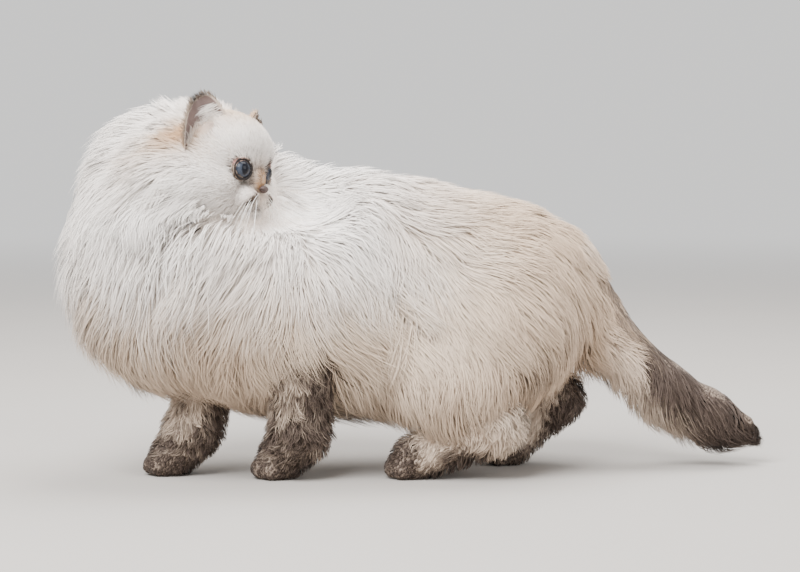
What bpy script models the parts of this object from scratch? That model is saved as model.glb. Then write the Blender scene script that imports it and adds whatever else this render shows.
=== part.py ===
"""A Persian cat of blue-point colouring, life size, standing with its head turned back over its left side.

Metres, +Z up. The body lies along X with the breast towards -X and the tail towards +X, the left flank faces -Y,
and the soles stand on Z = 0. A node is a core of flesh and underfur that carries flat, tapered locks of the coat.
"""

import math

import bmesh
import bpy
import numpy as np
from mathutils import Matrix, Vector

# Driving dimensions
GAP = 0.0003  # clearance between nodes that touch
SINK = 0.0005  # how much larger a shape is when it makes room for itself in its neighbour
HEAD_ROOM = 0.0016  # the same for the back of the head in the ruff, where the faces are coarser
TRUNK_WIDTH = 0.86  # the barrel's width against its height
CORE_SHARE = 0.45  # how far the core reaches from the skin towards the tips of the coat
TIP_SHARE = 1.06  # how far the tips of the locks reach
FLOOR_CLEAR = 0.004  # the coat stays this far above the floor
HEAD_PLACE = (-0.154, -0.050, 0.275)
HEAD_TURN = math.radians(-33)  # heading of the face from +X, round towards the left flank
HEAD_ROLL = math.radians(-6)  # the right ear is carried higher
SEED = 7

# Joints: place, skin radius, depth of the coat, how far the coat's middle hangs below the bone
JOINTS = {
    "breast": ((-0.188, -0.026, 0.190), 0.050, 0.058, 0.006),
    "shoulders": ((-0.105, -0.012, 0.178), 0.066, 0.036, 0.014),
    "ribs": ((-0.045, -0.006, 0.180), 0.068, 0.038, 0.018),
    "loin": ((0.025, 0.008, 0.172), 0.062, 0.038, 0.018),
    "pelvis": ((0.084, 0.016, 0.160), 0.056, 0.030, 0.012),
    "nape": ((-0.195, 0.006, 0.248), 0.044, 0.048, 0.008),
    "left_hip": ((0.080, -0.028, 0.142), 0.042, 0.026, 0.012),
    "left_knee": ((0.048, -0.048, 0.106), 0.033, 0.026, 0.018),
    "right_hip": ((0.098, 0.056, 0.142), 0.040, 0.026, 0.012),
    "right_knee": ((0.082, 0.058, 0.106), 0.033, 0.024, 0.016),
    "left_shoulder": ((-0.112, -0.050, 0.170), 0.034, 0.020, 0.012),
    "left_arm": ((-0.092, -0.050, 0.140), 0.024, 0.012, 0.006),
    "right_shoulder": ((-0.150, 0.012, 0.165), 0.034, 0.026, 0.012),
    "right_arm": ((-0.166, 0.000, 0.130), 0.026, 0.018, 0.006),
    "tail_root": ((0.146, 0.028, 0.192), 0.018, 0.024, 0.014),
    "tail_bend": ((0.190, 0.030, 0.134), 0.012, 0.019, 0.024),
    "tail_middle": ((0.243, 0.032, 0.085), 0.010, 0.020, 0.022),
    "tail_end": ((0.284, 0.034, 0.061), 0.008, 0.019, 0.020),
    "tail_point": ((0.319, 0.036, 0.044), 0.004, 0.007, 0.012),
    "front_left_elbow": ((-0.086, -0.068, 0.128), 0.0220, 0.0120, 0.0),
    "front_left_wrist": ((-0.088, -0.050, 0.040), 0.0160, 0.0110, 0.0),
    "front_left_ball": ((-0.106, -0.043, 0.016), 0.0165, 0.0060, 0.0),
    "front_right_elbow": ((-0.168, -0.006, 0.118), 0.0220, 0.0100, 0.0),
    "front_right_wrist": ((-0.185, -0.020, 0.040), 0.0155, 0.0100, 0.0),
    "front_right_ball": ((-0.204, -0.022, 0.016), 0.0165, 0.0060, 0.0),
    "hind_left_knee": ((0.050, -0.044, 0.098), 0.0230, 0.0080, 0.0),
    "hind_left_hock": ((0.082, -0.047, 0.050), 0.0150, 0.0150, 0.0),
    "hind_left_ball": ((0.012, -0.042, 0.017), 0.0165, 0.0060, 0.0),
    "hind_right_knee": ((0.092, 0.052, 0.098), 0.0230, 0.0080, 0.0),
    "hind_right_hock": ((0.144, 0.042, 0.062), 0.0145, 0.0110, 0.0),
    "hind_right_ball": ((0.102, 0.037, 0.017), 0.0155, 0.0060, 0.0),
}
TRUNK_BONES = (
    ("breast", "shoulders"), ("shoulders", "ribs"), ("ribs", "loin"), ("loin", "pelvis"), ("breast", "nape"),
    ("shoulders", "nape"), ("pelvis", "left_hip"), ("left_hip", "left_knee"), ("pelvis", "right_hip"),
    ("right_hip", "right_knee"), ("left_shoulder", "left_arm"), ("right_shoulder", "right_arm"),
)
TAIL_BONES = (
    ("tail_root", "tail_bend"), ("tail_bend", "tail_middle"), ("tail_middle", "tail_end"), ("tail_end", "tail_point"),
)

# Legs: their joints from the top, the height of the cut above the paw, and the way the toes point
LEGS = {
    "front_left": (("elbow", "wrist", "ball"), 0.034, (-0.97, -0.24, 0.0)),
    "front_right": (("elbow", "wrist", "ball"), 0.034, (-1.0, -0.05, 0.0)),
    "hind_left": (("knee", "hock", "ball"), 0.032, (-1.0, -0.05, 0.0)),
    "hind_right": (("knee", "hock", "ball"), 0.034, (-1.0, 0.0, 0.0)),
}
TOE_RADIUS = 0.0078
TOE_REACH = 0.0165  # from the ball of the foot to the middle of the two long toes
TOES = ((-0.0125, 0.62), (-0.0045, 1.0), (0.0045, 1.0), (0.0125, 0.62))  # place across the paw, share of the reach

# Head, in its own frame: +X the cat's right, +Y the way it faces, +Z the crown
EYE_RADIUS = 0.0105
EYE_PLACE = (0.0175, 0.0292, -0.0030)
EYE_AXIS = (0.30, 0.95, 0.05)
CORNEA_RADIUS = 0.0084
CORNEA_FORWARD = 0.0030
LID_RING = 0.0092  # radius of the ring that the lids make round the eye
LID_THICK = 0.0017
LID_FORWARD = 0.0066  # from the eye's centre to the plane of the lids
NOSE_PLACE = (0.0, 0.0445, -0.0165)
NOSE_RADII = (0.0068, 0.0052, 0.0046)
NOSTRIL = ((0.0026, 0.0520, -0.0178), (0.0044, 0.0460, -0.0166))
FACE_SOFTNESS = 0.006
COAT_SOFTNESS = 0.022
LONG_COAT = 0.008  # forms of the head with a deeper coat than this carry locks
# Rounded forms of the head: centre, skin radii, depth of the coat, sweep of the coat's tips, mirrored or not
HEAD_FORMS = (
    ((0.0, 0.002, 0.011), (0.0385, 0.0355, 0.0345), 0.0045, (0.0, 0.0, 0.0), False),
    ((0.0, -0.012, 0.002), (0.0340, 0.0280, 0.0340), 0.0180, (0.0, -0.022, -0.006), False),
    ((0.0, 0.021, 0.018), (0.0270, 0.0145, 0.0145), 0.0030, (0.0, 0.0, 0.0), False),
    ((0.026, 0.006, -0.018), (0.0180, 0.0190, 0.0170), 0.0045, (0.0, 0.0, 0.0), True),
    ((0.026, -0.004, -0.018), (0.0180, 0.0190, 0.0160), 0.0180, (0.018, -0.022, -0.004), True),
    ((0.023, 0.020, -0.014), (0.0120, 0.0100, 0.0100), 0.0025, (0.0, 0.0, 0.0), True),
    ((0.0, 0.008, -0.029), (0.0210, 0.0200, 0.0110), 0.0090, (0.0, -0.004, -0.004), False),
    ((0.0095, 0.0355, -0.0265), (0.0095, 0.0085, 0.0072), 0.0015, (0.0, 0.0, 0.0), True),
    ((0.0, 0.0310, -0.0405), (0.0095, 0.0075, 0.0060), 0.0020, (0.0, 0.0, 0.0), False),
    ((0.0, 0.0350, -0.0095), (0.0062, 0.0078, 0.0082), 0.0008, (0.0, 0.0, 0.0), False),
)
# Line of the mouth, from under the nose out and down to the corner
MOUTH_LINE = (
    (0.0, 0.0465, -0.0225), (0.0, 0.0465, -0.0310), (0.0085, 0.0440, -0.0352), (0.0165, 0.0350, -0.0375),
    (0.0215, 0.0260, -0.0390),
)
MOUTH_RADIUS = 0.0014
FACE_CLEAR = (0.0, 0.066, -0.004)  # the ruff is parted round this place in front of the face
FACE_CLEAR_RADII = (0.078, 0.064, 0.052)

# Ears, in the head's frame and for the right side: front and back ends of the base, and the tip
EARS = {
    "ear_right": ((0.0150, 0.0140, 0.0430), (0.0560, 0.0000, 0.0150), (0.0360, 0.0085, 0.0610)),
    "ear_left": ((0.0190, 0.0130, 0.0420), (0.0560, 0.0000, 0.0160), (0.0460, 0.0065, 0.0590)),
}
EAR_FACING = (0.35, 0.93, 0.10)
EAR_WALL = 0.0022
EAR_CUP = 0.0130  # depth of the cup
EAR_GRID = 7

# Locks: widths and thicknesses at the rings as shares, root first; the tip is a point
LOCK_WIDTHS = (0.82, 1.00, 0.66)
LOCK_DEPTHS = (1.00, 1.00, 0.65)
LOCK_SINK = 0.004  # how deep a root goes into the core

# Cuts between the nodes of the trunk and tail: node beyond, node before, a place on the cut and its normal
CUTS = (
    ("neck", "chest", (-0.200, -0.030, 0.205), (-0.509, 0.0, 0.861)),
    ("barrel", "chest", (-0.048, 0.0, 0.180), (1.0, 0.0, 0.0)),
    ("hindquarters", "barrel", (0.055, 0.0, 0.180), (1.0, 0.0, 0.0)),
    ("tail_base", "hindquarters", (0.166, 0.030, 0.170), (0.96, 0.0, -0.28)),
    ("tail_tip", "tail_base", (0.235, 0.030, 0.090), (0.75, 0.0, -0.60)),
)

CREAM, FAWN, POINT = (0.86, 0.82, 0.76), (0.62, 0.54, 0.46), (0.30, 0.26, 0.23)
COLOURS = {  # base colour and roughness; the other nodes are cream
    "eye_left": ((0.12, 0.20, 0.34), 0.15),
    "eye_right": ((0.12, 0.20, 0.34), 0.15),
    "nose": ((0.42, 0.28, 0.24), 0.5),
    "ear_left": (FAWN, 0.9),
    "ear_right": (FAWN, 0.9),
    "tail_base": (FAWN, 0.9),
    "tail_tip": (POINT, 0.9),
    "front_left_leg": (POINT, 0.9),
    "front_right_leg": (POINT, 0.9),
    "hind_right_leg": (FAWN, 0.9),
    "front_left_paw": (POINT, 0.9),
    "front_right_paw": (POINT, 0.9),
    "hind_left_paw": (POINT, 0.9),
    "hind_right_paw": (POINT, 0.9),
}


# Distance fields


def unit(vectors):
    return vectors / np.maximum(np.linalg.norm(vectors, axis=-1, keepdims=True), 1e-12)


def joint(name, share=0.0):
    """Centre and radius of a joint at a share of the coat's depth."""
    place, radius, coat, sag = JOINTS[name]
    return np.array(place) - np.array((0.0, 0.0, share * sag)), radius + share * coat


def fuse(first, second, softness):
    """Two distances joined with a rounded fillet."""
    mix = np.clip(0.5 + 0.5 * (second - first) / softness, 0.0, 1.0)
    return second + (first - second) * mix - softness * mix * (1.0 - mix)


def limb_distance(points, start, end, start_radius, end_radius):
    """Distance to a straight limb that tapers from one round end to the other."""
    axis = end - start
    along = np.clip((points - start) @ axis / (axis @ axis), 0.0, 1.0)
    nearest = start + along[:, None] * axis
    return np.linalg.norm(points - nearest, axis=1) - start_radius - along * (end_radius - start_radius)


def egg_distance(points, centre, radii):
    """Distance to an ellipsoid, close enough near its surface."""
    scaled = (points - np.array(centre)) / np.array(radii)
    reach = np.linalg.norm(scaled, axis=1)
    slope = np.linalg.norm(scaled / np.array(radii), axis=1)
    return reach * (reach - 1.0) / np.maximum(slope, 1e-9)


class Flesh:
    """A group of bones with the coat over them, as a distance field with any share of the coat's depth."""

    def __init__(self, bones, softness, squeeze=1.0, eggs=()):
        self.bones = bones
        self.softness = softness
        self.squeeze = squeeze
        self.eggs = eggs

    def distance(self, points, share):
        scale = np.array((1.0, 1.0 / self.squeeze, 1.0))
        total = None
        for first, last in self.bones:
            start, start_radius = joint(first, share)
            end, end_radius = joint(last, share)
            one = limb_distance(points * scale, start * scale, end * scale, start_radius, end_radius)
            total = one if total is None else fuse(total, one, self.softness)
        for centre, radii in self.eggs:
            total = fuse(total, egg_distance(points, centre, radii), self.softness * 0.4)
        return total

    def balls(self, share):
        """Balls strung along the bones, as (centre, radii), for a first rough skin."""
        for first, last in self.bones:
            start, start_radius = joint(first, share)
            end, end_radius = joint(last, share)
            count = 2 + int(np.linalg.norm(end - start) / (0.4 * min(start_radius, end_radius)))
            for along in np.linspace(0.0, 1.0, count):
                radius = start_radius + along * (end_radius - start_radius)
                yield start + along * (end - start), (radius, radius * self.squeeze, radius)
        yield from self.eggs


def gradient(distance, points, step=0.0004):
    """Unit outward direction and slope of a distance field."""
    slopes = np.stack([
        (distance(points + step * axis) - distance(points - step * axis)) / (2 * step) for axis in np.eye(3)
    ], axis=1)
    size = np.maximum(np.linalg.norm(slopes, axis=1, keepdims=True), 1e-9)
    return slopes / size, size[:, 0]


def settle(distance, points, rounds=4):
    """Moves points onto the surface of a distance field."""
    for _ in range(rounds):
        outward, slope = gradient(distance, points)
        points = points - outward * np.clip(distance(points) / slope, -0.01, 0.01)[:, None]
    return points


# Meshes


def linked(name, mesh):
    made = bpy.data.objects.new(name, mesh)
    bpy.context.scene.collection.objects.link(made)
    return made


def from_bmesh(name, solid):
    mesh = bpy.data.meshes.new(name)
    solid.to_mesh(mesh)
    solid.free()
    return linked(name, mesh)


def from_faces(name, verts, faces):
    """A closed mesh from its corners, with its faces turned outwards and cut into triangles."""
    solid = bmesh.new()
    corners = [solid.verts.new(tuple(map(float, vert))) for vert in verts]
    for face in faces:
        solid.faces.new([corners[index] for index in face])
    bmesh.ops.recalc_face_normals(solid, faces=solid.faces)
    bmesh.ops.triangulate(solid, faces=solid.faces)
    return from_bmesh(name, solid)


def copied(made, name):
    return linked(name, made.data.copy())


def remove(objects):
    for old in list(objects):
        bpy.data.objects.remove(old)


def mesh_points(mesh):
    points = np.empty(len(mesh.vertices) * 3)
    mesh.vertices.foreach_get("co", points)
    return points.reshape(-1, 3)


def applied(made):
    """Applies an object's modifiers to its mesh."""
    bpy.context.view_layer.update()
    graph = bpy.context.evaluated_depsgraph_get()
    mesh = bpy.data.meshes.new_from_object(made.evaluated_get(graph))
    made.modifiers.clear()
    made.data = mesh
    return made


def keep_largest(made):
    """Cuts the mesh into triangles, drops slivers and keeps only its largest closed surface."""
    solid = bmesh.new()
    solid.from_mesh(made.data)
    bmesh.ops.triangulate(solid, faces=solid.faces)
    bmesh.ops.remove_doubles(solid, verts=solid.verts, dist=2e-6)
    bmesh.ops.dissolve_degenerate(solid, edges=solid.edges, dist=2e-6)
    bmesh.ops.triangulate(solid, faces=solid.faces)
    unseen = set(solid.faces)
    surfaces = []
    while unseen:
        surface = []
        front = [unseen.pop()]
        while front:
            face = front.pop()
            surface.append(face)
            for edge in face.edges:
                if len(edge.link_faces) != 2:
                    continue
                for other in edge.link_faces:
                    if other in unseen:
                        unseen.remove(other)
                        front.append(other)
        volume = sum(face.verts[0].co.dot(face.verts[1].co.cross(face.verts[2].co)) for face in surface)
        surfaces.append((volume, surface))
    surfaces.sort(key=lambda found: found[0])
    for _, surface in surfaces[:-1]:
        bmesh.ops.delete(solid, geom=surface, context="FACES")
    solid.to_mesh(made.data)
    solid.free()
    made.data.update()
    return made


def remeshed(made, cell):
    remesh = made.modifiers.new("even_faces", "REMESH")
    remesh.mode = "VOXEL"
    remesh.voxel_size = cell
    return applied(made)


def relaxed(made, distance, rounds):
    """Evens out a mesh and lays it on the surface of a distance field."""
    ends = np.array([edge.vertices[:] for edge in made.data.edges])
    points = mesh_points(made.data)
    for _ in range(rounds):
        total = np.zeros_like(points)
        count = np.zeros(len(points))
        for near, far in (ends.T, ends.T[::-1]):
            np.add.at(total, near, points[far])
            np.add.at(count, near, 1)
        points = settle(distance, 0.5 * points + 0.5 * total / count[:, None], 2)
    made.data.vertices.foreach_set("co", points.ravel())
    made.data.update()
    return made


def flesh_object(name, distance, balls, cell):
    """A closed mesh of even faces on the surface of a distance field."""
    shell = bmesh.new()
    for centre, radii in balls:
        place = Matrix.Translation(Vector(centre)) @ Matrix.Diagonal((*radii, 1.0))
        bmesh.ops.create_icosphere(shell, subdivisions=2, radius=1.0, matrix=place)
    made = from_bmesh(name, shell)
    relaxed(remeshed(made, cell), distance, 2)
    return keep_largest(relaxed(remeshed(made, cell), distance, 3))


def thinned(made, ratio):
    """Fewer faces, and most of them where the surface bends."""
    fewer = made.modifiers.new("fewer_faces", "DECIMATE")
    fewer.ratio = ratio
    fewer.use_collapse_triangulate = True
    return keep_largest(applied(made))


def grown(made, name, distance):
    """A copy of an object with its surface moved outwards."""
    solid = bmesh.new()
    solid.from_mesh(made.data)
    solid.normal_update()
    moves = [vertex.normal * distance * min(vertex.calc_shell_factor(), 2.0) for vertex in solid.verts]
    for vertex, move in zip(solid.verts, moves, strict=True):
        vertex.co += move
    return from_bmesh(name, solid)


def slab(name, place, normal, size=1.2):
    """A big box that fills the side of a plane that its normal points to."""
    turn = Vector(normal).normalized().to_track_quat("Z", "Y").to_matrix().to_4x4()
    lift = Matrix.Translation((0.0, 0.0, size / 2)) @ Matrix.Diagonal((size, size, size, 1.0))
    box = bmesh.new()
    bmesh.ops.create_cube(box, size=1.0, matrix=Matrix.Translation(Vector(place)) @ turn @ lift)
    return from_bmesh(name, box)


def ball_object(name, centre, radii, axis=(0.0, 0.0, 1.0)):
    turn = Vector(axis).normalized().to_track_quat("Z", "Y").to_matrix().to_4x4()
    place = Matrix.Translation(Vector(centre)) @ turn @ Matrix.Diagonal((*radii, 1.0))
    ball = bmesh.new()
    bmesh.ops.create_icosphere(ball, subdivisions=3, radius=1.0, matrix=place)
    return from_bmesh(name, ball)


def tube_object(name, line, radii, sides=6):
    """A closed tube along a line."""
    line = np.array(line, float)
    ways = unit(np.gradient(line, axis=0))
    side = unit(np.cross(ways, np.array((0.31, 0.77, 0.55))))
    up = np.cross(side, ways)
    verts = []
    faces = []
    for point, right, top, radius in zip(line, side, up, radii, strict=True):
        for corner in range(sides):
            angle = 2 * math.pi * corner / sides
            verts.append(point + radius * (math.cos(angle) * right + math.sin(angle) * top))
    for ring in range(len(line) - 1):
        for corner in range(sides):
            a = ring * sides + corner
            b = ring * sides + (corner + 1) % sides
            faces.append((a, b, b + sides, a + sides))
    faces.append(tuple(range(sides)))
    faces.append(tuple(range((len(line) - 1) * sides, len(line) * sides)))
    return from_faces(name, verts, faces)


def boolean(made, operation, objects):
    """One Boolean with a collection of closed objects, applied, the objects then removed."""
    pieces = bpy.data.collections.new(made.name + "_pieces")
    bpy.context.scene.collection.children.link(pieces)
    for piece in objects:
        bpy.context.scene.collection.objects.unlink(piece)
        pieces.objects.link(piece)
    change = made.modifiers.new("join", "BOOLEAN")
    change.operation = operation
    change.operand_type = "COLLECTION"
    change.collection = pieces
    change.solver = "MANIFOLD"
    applied(made)
    remove(pieces.objects)
    bpy.data.collections.remove(pieces)
    return keep_largest(made)


def paint(made):
    """A material of the object's own in its colour."""
    (red, green, blue), roughness = COLOURS.get(made.name, (CREAM, 0.9))
    material = bpy.data.materials.new(made.name)
    material.use_nodes = True
    shader = material.node_tree.nodes["Principled BSDF"]
    shader.inputs["Base Color"].default_value = (red, green, blue, 1.0)
    shader.inputs["Roughness"].default_value = roughness
    made.data.materials.clear()
    made.data.materials.append(material)


# Locks of the coat


def loft(distance, points):
    """How far the tips of the coat stand off the core at points on it."""
    return np.maximum(-distance(points, 1.0), 0.0)


def spread_roots(made, spacing, rng, density=9.0):
    """Points spread evenly over a mesh, no two closer than the spacing there."""
    mesh = made.data
    mesh.calc_loop_triangles()
    corners = mesh_points(mesh)[np.array([triangle.vertices[:] for triangle in mesh.loop_triangles])]
    first, second, third = corners[:, 0], corners[:, 1], corners[:, 2]
    sizes = np.linalg.norm(np.cross(second - first, third - first), axis=1) / 2
    count = int(density * sizes.sum() / spacing(corners.mean(axis=1)).mean() ** 2)
    chosen = rng.choice(len(sizes), count, p=sizes / sizes.sum())
    a, b = rng.random((2, count, 1))
    a, b = np.where(a + b > 1, 1 - a, a), np.where(a + b > 1, 1 - b, b)
    points = first[chosen] + a * (second - first)[chosen] + b * (third - first)[chosen]
    room = spacing(points)
    kept = []
    for index, point in enumerate(points):
        if not kept or np.linalg.norm(points[kept] - point, axis=1).min() > room[index]:
            kept.append(index)
    return points[kept]


def comb(distance, roots, lengths, flow, sway, floor):
    """Centrelines of locks that start in the core, follow the lie of the coat and rise to the tips."""
    rings = len(LOCK_WIDTHS)
    points = settle(lambda place: distance(place, CORE_SHARE), roots)
    outward, _ = gradient(lambda place: distance(place, CORE_SHARE), points)
    lines = []
    normals = []
    for ring in range(rings + 1):
        along = ring / rings
        lines.append(points)
        normals.append(outward)
        way = flow(points, outward)
        way = unit(way - outward * (way * outward).sum(1, keepdims=True))
        way = unit(way + np.cross(outward, way) * (sway * (along - 0.3))[:, None])
        share = CORE_SHARE + (TIP_SHARE - CORE_SHARE) * min(along + 1.0 / rings, 1.0) ** 0.7
        ahead = points + way * (lengths / rings)[:, None]
        laid = settle(lambda place, share=share: distance(place, share), ahead, 2)
        points = laid + (ahead - laid) * 0.25 * along
        points[:, 2] = np.maximum(points[:, 2], floor)
        outward, _ = gradient(lambda place, share=share: distance(place, share), points)
    return np.stack(lines, axis=1), np.stack(normals, axis=1)


def coat_locks(made, distance, spacing, flow, keep, reach, rng, width=0.44, depth=0.13, floor=-1.0):
    """Locks rooted evenly over a core, as lines, normals, widths and depths."""
    roots = spread_roots(made, spacing, rng)
    roots = roots[keep(roots)]
    lengths = reach(roots) * rng.uniform(0.85, 1.20, len(roots))
    lines, normals = comb(distance, roots, lengths, flow, rng.uniform(-0.6, 0.6, len(roots)), floor)
    widths = width * lengths * rng.uniform(0.85, 1.15, len(roots))
    return list(zip(lines, normals, widths, depth * lengths, strict=True))


def lock_object(name, line, normals, width, depth, grow):
    """One closed, flat, tapered lock: three-sided rings along its line, and a pointed tip."""
    line = line.copy()
    ways = unit(np.gradient(line, axis=0))
    line[0] = line[0] - (normals[0] + ways[0]) * LOCK_SINK
    line[-1] = line[-1] + ways[-1] * grow * 3
    verts = []
    faces = [(0, 2, 1)]
    for ring, (wide, deep) in enumerate(zip(LOCK_WIDTHS, LOCK_DEPTHS, strict=True)):
        side = unit(np.cross(ways[ring], normals[ring]))
        up = np.cross(side, ways[ring])
        half = 0.5 * width * wide + 1.6 * grow
        verts.append(line[ring] - side * half - up * grow)
        verts.append(line[ring] + up * (depth * deep + 1.6 * grow))
        verts.append(line[ring] + side * half - up * grow)
    verts.append(line[-1])
    last = 3 * (len(LOCK_WIDTHS) - 1)
    for start in range(0, last, 3):
        for corner in range(3):
            a = start + corner
            b = start + (corner + 1) % 3
            faces += [(a, b, b + 3), (a, b + 3, a + 3)]
    faces += [(last + corner, last + (corner + 1) % 3, last + 3) for corner in range(3)]
    return from_faces(name, verts, faces)


def wear(made, locks, grow=0.0):
    """Joins locks to the core that carries them."""
    pieces = [
        lock_object(f"{made.name}_lock_{index}", line, normals, width, depth, grow)
        for index, (line, normals, width, depth) in enumerate(locks)
    ]
    return boolean(made, "UNION", pieces)


# Head


def head_matrix():
    ahead = Vector((math.cos(HEAD_TURN), math.sin(HEAD_TURN), 0.0))
    up = Vector((0.0, 0.0, 1.0))
    basis = Matrix((ahead.cross(up), ahead, up)).transposed().to_4x4()
    return Matrix.Translation(Vector(HEAD_PLACE)) @ basis @ Matrix.Rotation(HEAD_ROLL, 4, "Y")


def to_head(points):
    frame = np.array(head_matrix())
    return (points - frame[:3, 3]) @ frame[:3, :3]


def mirrored(value, side):
    return np.array(value) * np.array((side, 1.0, 1.0))


def head_eggs(share):
    """The forms of the head as (centre, radii, softness); only the long coat follows the share."""
    for centre, radii, coat, sweep, both in HEAD_FORMS:
        deep = coat > LONG_COAT
        depth = share if deep else 1.0
        for side in (1, -1) if both else (1,):
            place = mirrored(np.array(centre) + depth * np.array(sweep), side)
            yield place, tuple(np.array(radii) + depth * coat), COAT_SOFTNESS if deep else FACE_SOFTNESS


def head_distance(points, share):
    """Distance to the head with its lids, in its own frame."""
    total = None
    for centre, radii, softness in head_eggs(share):
        one = egg_distance(points, centre, radii)
        total = one if total is None else fuse(total, one, softness)
    for side in (1, -1):
        axis = unit(mirrored(EYE_AXIS, side))
        offset = points - mirrored(EYE_PLACE, side)
        along = offset @ axis
        across = np.linalg.norm(offset - along[:, None] * axis, axis=1)
        lid = np.hypot(across - LID_RING, along - LID_FORWARD) - LID_THICK
        total = fuse(total, lid, 0.0035)
    return total


def head_flow(points, outward):
    """The coat of the head lies away from the nose and falls."""
    away = unit(points - np.array((0.0, 0.050, -0.010)))
    return unit(away + np.array((0.0, -0.35, -0.55)))


def head_reach(points):
    return np.clip(0.020 + 1.3 * loft(head_distance, points), 0.026, 0.042)


def make_ear(name, side):
    """A thin cup: a triangle with a rounded tip, bent round its own axis, with a wall of even thickness."""
    inner, outer, tip = (mirrored(place, side) for place in EARS[name])
    facing = unit(mirrored(EAR_FACING, side))
    base = (inner + outer) / 2
    size = EAR_GRID * EAR_GRID
    verts = []
    for back in (0.0, 1.0):
        for row in range(EAR_GRID):
            v = 0.985 * row / (EAR_GRID - 1)
            middle = base + (tip - base) * (v * 1.16 - 0.16)
            spread = (outer - inner) * 0.5 * (1.0 - 0.25 * v) * math.sqrt(1.0 - v**2.2)
            wall = 1.4 * EAR_WALL * (1.0 - 0.45 * v) * back
            for column in range(EAR_GRID):
                u = -1.0 + 2.0 * column / (EAR_GRID - 1)
                cup = EAR_CUP * (1.0 - u * u) * (1.0 - 0.72 * v)
                rise = unit(tip - base) * 0.0012 * v * back
                verts.append(middle + spread * u * (1.0 + 0.06 * back) - facing * (cup + wall) + rise)
    faces = []
    for row in range(EAR_GRID - 1):
        for column in range(EAR_GRID - 1):
            a = row * EAR_GRID + column
            b = a + EAR_GRID
            for face in ((a, a + 1, b + 1), (a, b + 1, b)):
                faces.append(face)
                faces.append(tuple(size + index for index in reversed(face)))
    last = EAR_GRID - 1
    border = [column for column in range(last)]
    border += [row * EAR_GRID + last for row in range(last)]
    border += [last * EAR_GRID + column for column in range(last, 0, -1)]
    border += [row * EAR_GRID for row in range(last, 0, -1)]
    for a, b in zip(border, border[1:] + border[:1], strict=True):
        faces += [(b, a, size + a), (b, size + a, size + b)]
    return from_faces(name, verts, faces)


def make_eye(name, side):
    """An eyeball with its cornea."""
    place = mirrored(EYE_PLACE, side)
    axis = mirrored(EYE_AXIS, side)
    eye = ball_object(name, place, (EYE_RADIUS,) * 3, axis)
    cornea = ball_object(name + "_cornea", place + unit(axis) * CORNEA_FORWARD, (CORNEA_RADIUS,) * 3, axis)
    return thinned(boolean(eye, "UNION", [cornea]), 0.7)


def make_nose():
    """The leather of the nose, narrower below, before its nostrils are cut."""
    nose = ball_object("nose", NOSE_PLACE, NOSE_RADII)
    for vertex in nose.data.vertices:
        vertex.co.x *= 1.0 - 55.0 * max(0.0, NOSE_PLACE[2] - vertex.co.z)
    return thinned(nose, 0.45)


def make_head(rng):
    """The head, nose, eyes and ears, and the rooms they take up in the ruff, all placed on the body."""
    head = flesh_object(
        "head",
        lambda points: head_distance(points, CORE_SHARE),
        [(centre, radii) for centre, radii, _ in head_eggs(CORE_SHARE)],
        0.0022,
    )
    thinned(head, 0.060)
    under_ears = [grown(head, f"under_ear_{side}", SINK) for side in (1, -1)]
    coarse = thinned(copied(head, "coarse"), 0.30)
    head_room = grown(coarse, "head_room", HEAD_ROOM)
    remove([coarse])
    locks = coat_locks(
        head,
        head_distance,
        lambda points: np.full(len(points), 0.0215),
        head_flow,
        lambda points: loft(head_distance, points) > 0.0035,
        head_reach,
        rng,
        width=0.52,
    )
    wear(head, locks)
    wear(head_room, locks, SINK)
    mouth = []
    for side in (1, -1):
        line = settle(lambda points: head_distance(points, CORE_SHARE), mirrored(MOUTH_LINE, side), 6)
        mouth.append(tube_object("mouth", line, (MOUTH_RADIUS,) * 4 + (0.5 * MOUTH_RADIUS,)))
    eyes = [make_eye("eye_right", 1), make_eye("eye_left", -1)]
    nose = make_nose()
    sockets = [grown(made, made.name + "_socket", 1.2 * GAP) for made in (*eyes, nose)]
    for cut in (*mouth, *sockets):
        boolean(head, "DIFFERENCE", [cut])
    boolean(nose, "DIFFERENCE", [
        tube_object("nostril", [mirrored(place, side) for place in NOSTRIL], (0.0013, 0.0009)) for side in (1, -1)
    ])
    ears = [make_ear("ear_right", 1), make_ear("ear_left", -1)]
    for ear, under in zip(ears, under_ears, strict=True):
        boolean(ear, "DIFFERENCE", [under])
    rooms = [head_room] + [grown(ear, ear.name + "_room", SINK) for ear in ears]
    for made in (head, nose, *eyes, *ears, *rooms):
        made.data.transform(head_matrix())
    return rooms


# Legs


def leg_flesh(leg):
    """The field of a leg with its paw: two long bones and four toes."""
    parts, _, heading = LEGS[leg]
    upper, middle, ball = (leg + "_" + part for part in parts)
    ahead = unit(np.array(heading))
    aside = np.array((-ahead[1], ahead[0], 0.0))
    toes = []
    for across, reach in TOES:
        centre = np.array(JOINTS[ball][0]) + ahead * TOE_REACH * reach + aside * across
        centre[2] = TOE_RADIUS + 0.0012
        toes.append((centre, (TOE_RADIUS + 0.002, TOE_RADIUS, TOE_RADIUS + 0.0015)))
    return Flesh(((upper, middle), (middle, ball)), 0.014, 1.0, toes)


def clumps(points, scale, depth):
    """Soft streaks of matted fur that run down a leg."""
    x, y, z = (points * scale).T
    streaks = np.sin(1.9 * x + 1.3 * np.sin(0.7 * z)) * np.sin(2.3 * y + 0.9 * np.sin(0.6 * z + 1.0))
    return depth * (streaks + 0.5 * np.sin(0.9 * z + 1.7 * x) * np.sin(1.4 * y - 0.6 * z))


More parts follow.
